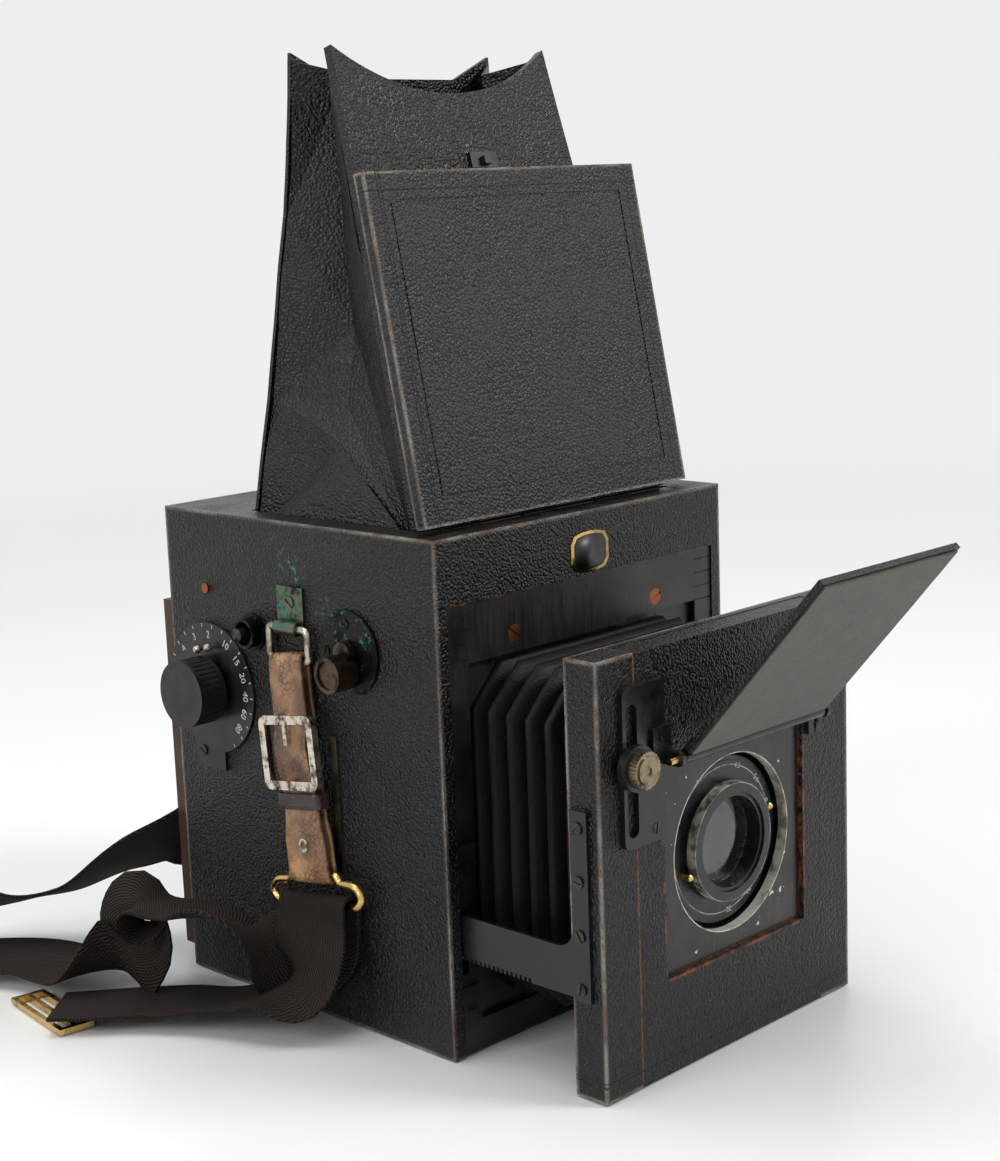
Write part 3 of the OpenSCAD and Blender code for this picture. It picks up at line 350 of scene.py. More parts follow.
def on_frame(place, middle, half_size, reach):
    """1 on the outline of a square window that looks along Y."""
    x, y, z = split(place)
    over = [math_of("SUBTRACT", math_of("ABSOLUTE", math_of("SUBTRACT", v, m)), half_size)
            for v, m in ((x, middle[0]), (z, middle[1]))]
    return on_line(math_of("MAXIMUM", *over), 0.0, reach)


def on_circle(place, middle, radius, reach):
    """1 on a circle that looks along Y."""
    x, y, z = split(place)
    sideways, upwards = math_of("SUBTRACT", x, middle[0]), math_of("SUBTRACT", z, middle[1])
    flat = add(place.id_data, "ShaderNodeCombineXYZ", {0: sideways, 1: upwards}).outputs[0]
    away = add(place.id_data, "ShaderNodeVectorMath", {0: flat}, operation="LENGTH").outputs["Value"]
    return on_line(away, radius, reach)


def turned(place, origin, degrees):
    """The place of each point in a frame that is turned about X at origin."""
    given = {"Vector": place, "Location": origin, "Rotation": (math.radians(degrees), 0, 0)}
    return add(place.id_data, "ShaderNodeMapping", given, vector_type="TEXTURE").outputs[0]

# %% [markdown]
# ### Leather
# The case is covered in goatskin, dyed black. Its grain is made of small pebbles about 1 mm across, so a
# cell pattern gives the bump. Painted highlights lighten the tops of the pebbles and painted shade darkens the
# creases between them. Along the corners a pale band is a painted highlight, and where the dye has rubbed off
# the brown skin shows, in broken lines and not as an even stripe.

# %% Leather recipe
# the pale grey of the corners is a painted highlight; the brown skin, the green and the bare rim are real colours
BROWN_SKIN, PAINTED_EDGE_HIGHLIGHT, VERDIGRIS, BARE_RIM = "#6b4326", "#96918a", "#2f7d6c", "#6f4127"


def leather(name, base, light, pebble_mm, rough, depth, edges=None, reach=1.6, green=(), scratches=None,
            local=None, lines=(), window=None, pebble_light_and_shade=1.0, gloss=0.32):
    """local is (origin, degrees) of a leaning part; lines are (axis, place in mm, half width in mm, colour);
    green is (middle, radius) of a green spot; scratches are (turn of the strokes, strength)."""
    material, shader, place = start(name)
    tree = place.id_data
    flat = turned(place, *local) if local else place
    pebbles = {"Vector": place, "Scale": 1000 / pebble_mm, "Smoothness": 0.35, "Randomness": 1.0}
    cells = add(tree, "ShaderNodeTexVoronoi", pebbles, feature="SMOOTH_F1").outputs["Distance"]
    fine = grain(place, pebble_mm * 0.7)
    patches = grain(place, 24, 4, 0.6)
    skin = blend_colours(ramp(patches, 0.35, 0.68), base, light)
    # painted highlight: the tops of the pebbles are lightened as if the light caught them
    painted_pebble_highlight = times(ramp(cells, 0.05, 0.34, 1.0, 0.0), ramp(fine, 0.40, 0.62, 0.0, 0.75 * pebble_light_and_shade))
    skin = blend_colours(painted_pebble_highlight, skin, "#5f5c56")
    # painted shade: the creases between the pebbles are darkened
    skin = blend_colours(ramp(cells, 0.45, 0.75, 0.0, 0.7 * pebble_light_and_shade), skin, "#040303")
    shine = ramp(patches, 0.3, 0.7, rough - 0.07, rough + 0.09)
    height = math_of("SUBTRACT", times(fine, 0.35), times(cells, 1.2))
    chance = grain(place, 5, 6, 0.7)
    if edges:
        edge_band = near_edges(flat, edges[0], edges[1], reach * MM)
        # painted highlight: a pale band along the corners, where rounded edges would catch the light; the brown
        # spots below are real wear
        edge_highlight_share = times(edge_band, ramp(patches, 0.38, 0.62, 0.25, 0.8))
        skin = blend_colours(edge_highlight_share, skin, PAINTED_EDGE_HIGHLIGHT)
        broken = ramp(math_of("ADD", chance, times(edge_band, 0.36)), 0.82, 0.92)
        skin = blend_colours(times(broken, edge_band), skin, BROWN_SKIN)
    if lines:
        axes = split(flat)
    for axis, at, half, tone in lines:
        mark = on_line(axes[axis], at * MM, half * MM)
        shown = times(mark, ramp(chance, 0.40, 0.56, 0.35, 1.0))
        skin = blend_colours(shown, skin, tone)
        height = math_of("SUBTRACT", height, times(mark, 1.4))
    if window:
        rim = on_frame(place, window[0], window[1], 1.5 * MM)
        skin = blend_colours(times(rim, ramp(chance, 0.46, 0.60)), skin, BARE_RIM)
    for centre, radius in green:
        away = add(tree, "ShaderNodeVectorMath", {0: place, 1: centre}, operation="DISTANCE").outputs["Value"]
        ring = ramp(away, radius * 0.35, radius, 1.0, 0.0)
        spots = ramp(grain(place, 3, 5, 0.7), 0.54, 0.62)
        skin = blend_colours(times(times(ring, spots), 0.85), skin, VERDIGRIS)
    if scratches:
        strokes = {"Vector": flat, "Rotation": scratches[0], "Scale": (1, 1, 0.06)}
        stretched = add(tree, "ShaderNodeMapping", strokes).outputs[0]
        scored = ramp(grain(stretched, 2.2, 2, 0.5), 0.715, 0.76)
        skin = blend_colours(times(scored, scratches[1]), skin, "#77736b")
    feed(shader, {"Base Color": skin, "Roughness": shine, "Specular IOR Level": gloss,
                  "Normal": raised(height, depth)})
    return material


case_low, case_high = (Vector(c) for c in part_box("case_leather"))
std_low, std_high = (Vector(c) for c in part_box("standard_frame"))
LUG = Vector((-0.078, 0.0012, 0.164))                  # green spots gather round the lug of the strap
LENS = (0.0025, 0.075)                                 # X and Z of the lens's axis
# the lid stands open: its hinge line, its turn in degrees, and its box once it is turned back
LID_ORIGIN, LID_LEAN = (0, -0.0622, 0.1895), 78.9
LID_EDGES = ((-0.0726, 0.002, 0.0006), (0.0686, 0.1268, 0.0055))
SEAM, TOOLED = "#7a4a2c", "#050404"
goatskin = leather("black_goatskin", "#0d0b0a", "#1a1715", 1.05, 0.36, depth=0.42, edges=(case_low, case_high),
                   reach=1.7, green=[(LUG + Vector((0, 0, 0.009)), 0.011), ((-0.078, -0.017, 0.157), 0.009)])
std_skin = leather("black_goatskin_front", "#0d0c0b", "#1b1917", 1.05, 0.36, depth=0.42, edges=(std_low, std_high),
                   reach=1.7, lines=[(0, -51.4, 0.45, SEAM), (0, 66.5, 0.35, TOOLED), (2, 6.6, 0.35, TOOLED),
                                     (2, 8.0, 0.3, TOOLED)])
panel_skin = leather("black_goatskin_panel", "#0d0c0b", "#1b1917", 1.05, 0.36, depth=0.42,
                     window=(LENS, 39.6 * MM),
                     lines=[(0, -51.2, 0.45, SEAM), (0, 52.2, 0.3, TOOLED), (2, 6.6, 0.35, TOOLED)])
# the lid is the same goatskin painted a lighter grey: painted sheen on its face, which turns to the light
lid_skin = leather("black_goatskin_lid", "#161513", "#2a2825", 1.1, 0.42, depth=0.4, local=(LID_ORIGIN, LID_LEAN),
                   edges=LID_EDGES, reach=1.5, scratches=((0.2, 0.3, 0.5), 0.3),
                   lines=[(0, -66.8, 0.3, TOOLED), (0, -65.4, 0.3, TOOLED), (0, 63, 0.3, TOOLED),
                          (1, 120, 0.3, TOOLED)])
flap_skin = leather("black_goatskin_flap", "#11100f", "#201e1b", 1.05, 0.38, depth=0.4)
hood_skin = leather("soft_black_goatskin", "#0b0a09", "#151311", 1.1, 0.33, depth=0.42,
                    scratches=((0.1, 0.2, 0.1), 0.1))
bellows_skin = leather("thin_bellows_leather", "#020202", "#060505", 0.9, 0.52, depth=0.08, pebble_light_and_shade=0.2, gloss=0.16)
tan_hide = leather("worn_tan_hide", "#754d31", "#b98f66", 1.3, 0.40, depth=0.16, pebble_light_and_shade=0.1, gloss=0.6)
keeper_hide = leather("dark_keeper_hide", "#241a1b", "#4a3832", 1.3, 0.36, depth=0.16, pebble_light_and_shade=0.1, gloss=0.5)
print("materials with the leathers", len(bpy.data.materials))

# %% [markdown]
# The tan tab is vegetable-tanned cowhide that has been oiled and cracked for a century. Its colour changes
# more than its grain does, so it gets dark cracks and darker oiled patches on top of the leather recipe.

# %% Tan hide
def age_tan(material):
    tree = material.node_tree
    shader = tree.nodes["Principled BSDF"]
    place = add(tree, "ShaderNodeTexCoord", {}).outputs["Object"]
    skin = shader.inputs["Base Color"].links[0].from_socket
    cells = {"Vector": place, "Scale": 1000 / 2.4, "Randomness": 1.0}
    gap = add(tree, "ShaderNodeTexVoronoi", cells, feature="DISTANCE_TO_EDGE").outputs["Distance"]
    cracks = times(ramp(gap, 0.02, 0.10, 1.0, 0.0), ramp(grain(place, 9, 3), 0.42, 0.60))
    oiled = ramp(grain(place, 14, 4), 0.40, 0.66)
    skin = blend_colours(times(oiled, 0.65), skin, "#33201a")
    feed(shader, {"Base Color": blend_colours(times(cracks, 0.8), skin, "#1f1410")})


age_tan(tan_hide)

# %% [markdown]
# ### Painted wood, metals and glass
# The front frame and the lens board are wood under black lacquer, worn through to the wood at the edges.
# The metals are brass, steel or tin, some of them plated and some under black paint or lacquer. A slow noise
# dulls them and a fine one gives the scratches. Three of them have green spots on what stands high up, where
# brass touches leather.

# %% Lacquered wood recipe
WORN_WOOD, CHIPPED = "#7a4e2b", "#c9c4b8"


def lacquer(name, base, rough, edges=None, reach=1.0, chip_share=0.0, ring=None, patch="#26221e"):
    """ring is (middle, radius) of a circle round the lens where the paint is rubbed off."""
    material, shader, place = start(name)
    grainy = add(place.id_data, "ShaderNodeMapping", {"Vector": place, "Scale": (1, 1, 0.12)}).outputs[0]
    streaks = grain(grainy, 1.6, 4)
    tone = blend_colours(ramp(grain(place, 18, 4), 0.35, 0.7), base, patch)
    if edges:
        edge_band = near_edges(place, edges[0], edges[1], reach * MM)
        uneven = math_of("ADD", grain(place, 4, 5, 0.7), times(edge_band, 0.35))
        tone = blend_colours(times(ramp(uneven, 0.74, 0.86), edge_band), tone, WORN_WOOD)
    if chip_share:
        spots = ramp(grain(place, 3.2, 2, 0.4), 1 - chip_share, 1.02 - chip_share)
        tone = blend_colours(spots, tone, CHIPPED)
    if ring:
        rim = on_circle(place, *ring, 0.5 * MM)
        left_bare = ramp(grain(place, 7, 4), 0.36, 0.56, 0.3, 1.0)
        tone = blend_colours(times(rim, left_bare), tone, CHIPPED)
    shine = ramp(streaks, 0.3, 0.7, rough - 0.06, rough + 0.10)
    feed(shader, {"Base Color": tone, "Roughness": shine, "Normal": raised(streaks, 0.06, 0.7)})
    return material


# %% Metal recipe
def metal(name, base, dull, rough, share=0.5, patch_mm=7, green=0.0, lacquered=False, depth=0.03, rings=(),
          upper=None):
    """green is how much of what stands high has turned green, upper is (height, colour) of what stands higher
    than that, and rings are (middle, radius in mm) of bright rims."""
    material, shader, place = start(name)
    patches = grain(place, patch_mm, 5, 0.65)
    dulled = ramp(patches, 0.62 - share * 0.3, 0.78 - share * 0.2)
    tone = blend_colours(dulled, base, dull)
    z = split(place)[2]
    if green:
        spots = ramp(grain(place, 2.6, 5, 0.7), 0.70 - green * 0.2, 0.76 - green * 0.2)
        high_up = ramp(z, 0.128, 0.134)
        tone = blend_colours(times(spots, high_up), tone, VERDIGRIS)
    if upper:
        tone = blend_colours(ramp(z, upper[0], upper[0] + MM), tone, upper[1])
    for middle, radius in rings:
        rim = on_circle(place, middle, radius * MM, 0.3 * MM)
        bright = times(rim, ramp(patches, 0.4, 0.6, 0.2, 1.0))
        tone = blend_colours(bright, tone, "#a9a49a")
    shine = ramp(patches, 0.3, 0.75, rough - 0.08, rough + 0.16)
    feed(shader, {"Base Color": tone, "Roughness": shine, "Metallic": 0.0 if lacquered else 1.0,
                  "Normal": raised(grain(place, 0.6, 4), depth, 0.8)})
    return material


frame_low, frame_high = (Vector(c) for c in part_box("front_frame"))
board_low, board_high = (Vector(c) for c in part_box("lens_board"))
black_wood = lacquer("black_lacquered_wood", "#0e0d0c", 0.36, edges=(frame_low, frame_high), reach=1.4)
board_wood = lacquer("lens_board_lacquer", "#0e0d0f", 0.30, edges=(board_low, board_high), chip_share=0.275,
                     ring=(LENS, 32.4 * MM))
inner_wood = lacquer("dull_black_inside", "#0b0a0a", 0.7)
walnut = lacquer("oiled_walnut", "#3f2615", 0.5, patch="#2c1a10")
nickel = metal("worn_nickel_plate", "#b5ada0", "#5b5045", 0.28, 0.5)
steel_buckle = metal("tarnished_buckle_plate", "#d8cfbf", "#2c2723", 0.26, 0.62, patch_mm=5)
dark_iron = metal("black_japanned_steel", "#0f0f10", "#1c1a18", 0.34, 0.4, lacquered=True, depth=0.02)
plate_iron = metal("blackened_side_plate", "#2b2825", "#141312", 0.36, 0.4, green=0.62)
lug_metal = metal("tarnished_lug_brass", "#6f675a", "#26231f", 0.34, 0.5, green=0.95)
knob_brown = metal("browned_bronze", "#57483c", "#201914", 0.32, 0.5)
worn_brass = metal("handled_brass", "#8d7f68", "#3c3227", 0.3, 0.5)
old_screws = metal("dulled_screw_steel", "#4d4842", "#1d1a17", 0.34, 0.55)
COPPER_FROM = 0.12                                     # of case_screws, what stands above this is copper
copper = metal("coppered_screws", "#4d4842", "#1d1a17", 0.4, 0.4, upper=(COPPER_FROM, "#94583a"))
brass = metal("lacquered_brass", "#cfae6b", "#7b6236", 0.24, 0.35, green=0.15)
black_enamel = metal("black_enamelled_brass", "#0c0c0d", "#191817", 0.30, 0.4, lacquered=True,
                     rings=[(LENS, 27.2), (LENS, 21.6)])
black_paint = metal("black_painted_tin", "#0f0e0e", "#1a1817", 0.38, 0.4, lacquered=True)
vulcanite = metal("black_vulcanite", "#110c0a", "#1c1410", 0.42, 0.5, lacquered=True, depth=0.08)
print("materials with the metals", len(bpy.data.materials))

# %% Glass, mirror and cloth
CROWN_GLASS = 1.52                                     # how strongly it bends light


def glass(name, tint, rough):
    material, shader, place = start(name)
    dust = ramp(grain(place, 1.2, 6, 0.7), 0.5, 0.8, rough, rough + 0.12)
    feed(shader, {"Base Color": colour(tint), "Roughness": dust, "Transmission Weight": 1.0, "IOR": CROWN_GLASS})
    return material


lens_glass = glass("lens_glass", "#dfe6ea", 0.02)
ground_glass = glass("ground_glass", "#e6ece8", 0.45)
silvered = metal("silvered_mirror", "#dfe2e4", "#a9aaa8", 0.06, 0.3, depth=0.0)


def cloth(name, base, light, thread_mm, fibre=0.5):
    material, shader, place = start(name)
    fibres = grain(place, thread_mm, 6, 0.75)
    lint = ramp(grain(place, thread_mm * 7, 6, 0.7), 0.45, 0.7)
    tone = blend_colours(times(lint, fibre), base, light)
    tone = blend_colours(ramp(fibres, 0.4, 0.75, 0.0, 0.6), tone, light)
    feed(shader, {"Base Color": tone, "Roughness": 0.9, "Sheen Weight": 0.25, "Normal": raised(fibres, 0.35)})
    return material


felt = cloth("olive_grey_felt", "#37372f", "#57564b", 0.9, fibre=0.45)
shutter_cloth = cloth("rubbered_shutter_cloth", "#0d0d0e", "#1c1c1d", 0.5)

# %% [markdown]
# ### Woven webbing
# The strap is a twill: the threads step sideways by one at each pass, so fine slanting ribs run across it.
# The ribs follow the strip, so this finish reads the strip's own map, where one unit is a metre. Real ribs
# are 0.8 mm apart; they are drawn 1.6 mm apart so that they still show at the size of the picture.

# %% Webbing
def twill(name, dark, light, rib_mm):
    material, shader, place = start(name)
    u, v = split(add(place.id_data, "ShaderNodeUVMap", {}, uv_map="strip").outputs[0])[:2]
    wobble = times(grain(place, 6, 3), 0.0006)
    slant = math_of("ADD", math_of("ADD", u, times(v, 0.9)), wobble)
    ribs = math_of("SINE", times(slant, 2 * math.pi * 1000 / rib_mm))
    warp = math_of("SINE", times(v, 2 * math.pi * 1000 / (rib_mm * 0.9)))
    weave = math_of("ADD", times(ribs, 0.5), times(warp, 0.35))
    fibres = grain(place, 0.9, 6, 0.7)
    faded = ramp(grain(place, 30, 4), 0.35, 0.7)
    tone = blend_colours(ramp(weave, -0.6, 0.8), dark, light)
    tone = blend_colours(times(faded, 0.4), tone, "#231b17")
    tone = blend_colours(ramp(fibres, 0.55, 0.8, 0.0, 0.5), tone, "#332a24")
    feed(shader, {"Base Color": tone, "Roughness": 0.88, "Specular IOR Level": 0.2,
                  "Normal": raised(math_of("ADD", weave, times(fibres, 0.5)), 0.35)})
    return material


webbing_twill = twill("brown_black_twill", "#090706", "#40352e", 1.6)
give(webbing, webbing_twill)

# %% Which finish each CAD node gets
FINISH = {
    goatskin: ["case_leather"],
    std_skin: ["standard_frame"],
    panel_skin: ["rising_panel"],
    lid_skin: ["lid_board"],
    flap_skin: ["flap_board"],
    black_wood: ["front_frame"],
    board_wood: ["lens_board"],
    inner_wood: ["screen_frame", "mirror_frame"],
    walnut: ["case_carcass", "revolving_frame"],
    nickel: ["dial_pins"],
    old_screws: ["arm_screws", "plate_screws", "focus_knob", "plunger"],
    copper: ["case_screws"],
    worn_brass: ["clamp_nut"],
    steel_buckle: ["tab_buckles"],
    dark_iron: ["stud_collar", "rack_arms", "slot_plate", "flap_brackets", "flap_leaf", "lid_hinge", "lid_leaf",
                "guide_plates"],
    plate_iron: ["release_plate", "button_cup"],
    lug_metal: ["side_plates"],
    knob_brown: ["release_lever"],
    brass: ["tripod_bush", "focus_shaft", "finger_pins", "flap_rod", "idler_gear", "strap_slider"],
    black_enamel: ["lens_cup", "lens_barrel", "aperture_ring"],
    black_paint: ["shutter_dial", "upper_roller", "lower_roller", "back_ring", "plate_holder", "dark_slide"],
    vulcanite: ["winding_knob"],
    lens_glass: ["lens_glass"],
    ground_glass: ["focus_screen"],
    silvered: ["mirror_glass"],
}
for finish, nodes in FINISH.items():
    for node in nodes:
        give(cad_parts[node], finish)
print("finished nodes", sum(len(n) for n in FINISH.values()))

# %% [markdown]
# ## The bellows
# The bellows is one skin folded into sharp pleats, with cut corners where the folds of two sides meet. Its
# shape follows a rule, so it is a loft: each ring is an eight-cornered frame that gets smaller in a valley.
# Leather never folds to a knife edge, so the wave between ridge and valley is part line and part curve.

# %% Bellows
BEL_BACK, BEL_FRONT = -72.8 * MM, -127.2 * MM
BEL_FOLDS, BEL_DEEP = 12, 7 * MM
BEL_HALF_W, BEL_HALF_H, BEL_CUT = 60 * MM, 62 * MM, 15 * MM


def bellows_ring(s):
    """The ring at s, which counts the folds from the front."""
    ridge = abs((s + 1) % 2 - 1)                       # 0 on a ridge, 1 in a valley
    depth = BEL_DEEP * (0.7 * ridge + 0.3 * (0.5 - 0.5 * math.cos(math.pi * ridge)))
    w, h, c = BEL_HALF_W - depth, BEL_HALF_H - depth, BEL_CUT - depth * 0.5
    y = BEL_FRONT + (BEL_BACK - BEL_FRONT) * s / BEL_FOLDS
    corners = [(w, h - c), (w - c, h), (-w + c, h), (-w, h - c),
               (-w, -h + c), (-w + c, -h), (w - c, -h), (w, -h + c)]
    ring = []
    for k in range(8):
        a, b = corners[k], corners[(k + 1) % 8]
        parts = 6 if k % 2 else 2
        for j in range(parts):
            x, z = (a[i] + (b[i] - a[i]) * j / parts for i in (0, 1))
            sag = 0.5 * MM * noise.noise(Vector((x * 60, y * 25, z * 60)))
            ring.append(Vector((x * (1 - abs(sag) * 8), y + sag * 0.8, 0.08 + z * (1 - abs(sag) * 8))))
    return ring


bellows = loft("pleated_bellows", [bellows_ring(i / 4) for i in range(BEL_FOLDS * 4 + 1)], ends=False)
wall = bellows.modifiers.new("wall", "SOLIDIFY")
wall.thickness, wall.offset = 0.8 * MM, -1
finish_modifiers(bellows)
give(bellows, bellows_skin)
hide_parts("bellows")
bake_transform(bellows)
print("bellows faces", len(bellows.data.polygons))

# %% [markdown]
# ## The folding hood
# Four walls of leather over card make the hood. The CAD gives their folds, and here the skins get the gentle
# dents that old card and leather have. The same dent moves both faces of a wall, so the wall keeps its
# thickness. When the lid shuts, the whole hood sinks down into the case.

# %% Hood
DENT_LOW, DENT_HIGH, DENT_FADE = 0.185, 0.356, 0.02
HOOD_WALLS = [("hood_gussets", 2.2 * MM, 34 * MM, (1, 0, 0)), ("hood_front", 0.5 * MM, 40 * MM, (0, 1, 0)),
              ("hood_rear", 0.8 * MM, 40 * MM, (0, 1, 0))]


def clamped(value):
    return min(1, max(0, value))


def dent(piece, depth, size, axis):
    """Pushes a wall in and out along axis, but leaves its foot and its upper edge in place."""
    for v in piece.data.vertices:
        push = depth * noise.fractal(v.co / size, 1.0, 2.0, 2)
        push *= clamped((v.co.z - DENT_LOW) / DENT_FADE) * clamped((DENT_HIGH - v.co.z) / DENT_FADE)
        v.co += Vector(axis) * push


hood_pieces = []
for node, depth, size, axis in HOOD_WALLS:
    wall_of_hood = copy_of(node, node + "_leather", cuts=4)
    dent(wall_of_hood, depth, size, axis)
    for face in wall_of_hood.data.polygons:
        face.use_smooth = False
    give(wall_of_hood, hood_skin)
    hood_pieces.append((wall_of_hood, node))
catch = copy_of("hood_catch", "hood_catch_metal")
give(catch, dark_iron)
hood_pieces.append((catch, "hood_catch"))
for piece, node in hood_pieces:
    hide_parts(node)
    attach(piece, "case")
    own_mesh(piece)
print("hood pieces", [p.name for p, n in hood_pieces])

# %% [markdown]
# ## Rings and leather tabs
# On both sides a small ring hangs in a lug, a leather tab hangs in that ring, and the tab holds the large
# ring for the webbing. The rings are bent wire, so they are tubes along a closed line with rounded bends.
# The tab is a strip that goes over the small ring, down behind and before, and round the large ring.

# %% Wire rings
WIRE_SIDES = 14


def tube(name, line, radius):
    """A wire whose ends meet."""
    rings = []
    m = len(line)
    ahead_of = [(line[(i + 1) % m] - line[i - 1]).normalized() for i in range(m)]
    side = Vector((1, 0, 0))
    for i in range(m):
        t = ahead_of[i]
        side = (side - side.dot(t) * t).normalized()
        other = t.cross(side)
        rings.append([line[i] + radius * (math.cos(a) * side + math.sin(a) * other)
                      for a in (2 * math.pi * k / WIRE_SIDES for k in range(WIRE_SIDES))])
    return loft(name, rings, closed_path=True)


def rounded_line(corners, radius, steps=6):
    """The closed line through corners, with each corner rounded."""
    line = []
    m = len(corners)
    for i in range(m):
        a, b, c = Vector(corners[i - 1]), Vector(corners[i]), Vector(corners[(i + 1) % m])
        r = min(radius, (a - b).length * 0.45, (c - b).length * 0.45)
        p, q = b + (a - b).normalized() * r, b + (c - b).normalized() * r
        line += [(1 - t) ** 2 * p + 2 * t * (1 - t) * b + t * t * q for t in (k / steps for k in range(steps + 1))]
    return line


RING_X, LUG_Y, BAR_Z = -80.6 * MM, 1.2 * MM, 138.6 * MM
# the tabs hang a little outwards and a little forward
LEAN = Matrix.Rotation(math.radians(2.4), 3, "Y") @ Matrix.Rotation(math.radians(-8.2), 3, "X")
SIDES = {"left": 1, "right": -1}


def hung(p, side):
    """A point drawn from the small ring's lower bar, in millimetres, put in its place on one side."""
    q = Vector((RING_X, LUG_Y, BAR_Z)) + LEAN @ (Vector(p) * MM)
    return Vector((q.x * SIDES[side], q.y, q.z))


BIG_RING = [(-12.5, -80.5), (-14, -83.4), (-22, -84), (-25.2, -87), (-25.2, -89.4), (-22.4, -92)]
BIG_RING += [(-y, z) for y, z in reversed(BIG_RING)]
SMALL_RING = [(-11, 0), (11, 0), (11, 12.2), (-11, 12.2)]
wires = []
for side in SIDES:
    small = [Vector((RING_X * SIDES[side], LUG_Y + y * MM, BAR_Z + z * MM)) for y, z in SMALL_RING]
    large = [hung((0, y, z), side) for y, z in BIG_RING]
    wires.append(tube("small_ring_" + side, rounded_line(small, 2.5 * MM), 1.5 * MM))
    wires.append(tube("large_ring_" + side, rounded_line(large, 2.2 * MM), 1.6 * MM))
for wire in wires:
    give(wire, brass if "large" in wire.name else nickel)
    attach(wire, "case")
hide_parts("strap_rings")

# %% Leather strip
# half of the outline of its section; the other half is the same, turned over
STRIP_HALF = [(-1, -0.3), (-0.985, -0.8), (-0.94, -1), (-0.5, -1.05), (0, -1.1), (0.5, -1.05), (0.94, -1),
              (0.985, -0.8), (1, -0.3)]
STRIP_SECTION = STRIP_HALF + [(-u, -v) for u, v in STRIP_HALF]


def strip(name, line, half_width, thick, side):
    """line is (x, z) in millimetres in the hanging frame; half_width is a function of z."""
    pts = [Vector((x, 0, z)) for x, z in line]
    m = len(pts)
    rings = []
    for i in range(m):
        t = (pts[(i + 1) % m] - pts[i - 1]).normalized()
        out = Vector((t.z, 0, -t.x))
        w = half_width(pts[i].z)
        wave = 0.35 * noise.noise(pts[i] * 0.12)
        rings.append([hung(pts[i] + Vector((0, u * (w + 0.25 * noise.noise(Vector((u, pts[i].z * 0.2, 7)))), 0))
                           + out * (v * thick / 2) + Vector((0, wave, 0)), side) for u, v in STRIP_SECTION])
    return loft(name, rings, closed_path=True)


def smooth_line(corners, steps):
    """The closed smooth line through corners."""
    m = len(corners)
    out = []
    for i in range(m):
        rows = [corners[(i + j) % m] for j in (-1, 0, 1, 2)]
        out += [catmull(rows, 1, k / steps) for k in range(steps)]
    return out


def tab_half_width(z):
    """The tab is wider round the large ring and a little narrower round the small one."""
    return 9.3 + 1.8 * clamped((-z - 58) / 10) - 0.5 * clamped((z + 6) / 8)


TAB_THICK = 1.55
TAB_LINE = [(1.15, -78), (1.15, -55), (1.15, -30), (1.2, -8), (1.6, -2), (1.1, 1.6), (-0.9, 2.0), (-2.3, 0.4),
            (-2.6, -6), (-2.7, -20), (-3.4, -26), (-4.2, -31), (-4.3, -37), (-3.4, -42), (-2.6, -47), (-2.55, -60),
            (-2.55, -72), (-2.5, -79), (-1.9, -82.2), (-0.2, -83.3), (1.0, -81.5)]
KEEPER_Z, KEEPER_CORNERS = -52.5, [(-4.2, -10.9), (-4.2, 10.9), (2.0, 10.9), (2.0, -10.9)]
KEEPER_HALF_H, KEEPER_HALF_T = 3.0 * MM, 0.6 * MM
tabs = []
for side in SIDES:
    tab = strip("tab_leather_" + side, smooth_line(TAB_LINE, steps=5), tab_half_width, TAB_THICK, side)
    down = (hung((0, 0, KEEPER_Z - 1), side) - hung((0, 0, KEEPER_Z), side)).normalized()
    bend = rounded_line([hung((x, y, KEEPER_Z), side) for x, y in KEEPER_CORNERS], 2 * MM, steps=5)
    rings = []
    for i, p in enumerate(bend):
        t = (bend[(i + 1) % len(bend)] - bend[i - 1]).normalized()
        out = t.cross(down).normalized()
        rings.append([p + down * u * KEEPER_HALF_H + out * v * KEEPER_HALF_T for u, v in STRIP_SECTION])
    keeper = loft("tab_keeper_" + side, rings, closed_path=True)
    tabs += [tab, keeper]
for tab in tabs:
    give(tab, keeper_hide if "keeper" in tab.name else tan_hide)
    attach(tab, "case")
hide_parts("strap_tabs")
print("tabs", len(tabs), "wires", len(wires))

# %% [markdown]
# ## Repeated marks
# The shutter dial carries short engraved lines. A Geometry Nodes tree sets one small bar on each point of an
# arc and turns it to face the middle. The tree ends in real geometry, because an exported file can't keep
# instances. The numbers are generic ones, set round the same middle.

# %% Ticks on an arc
PAINT_THICK = 0.00012


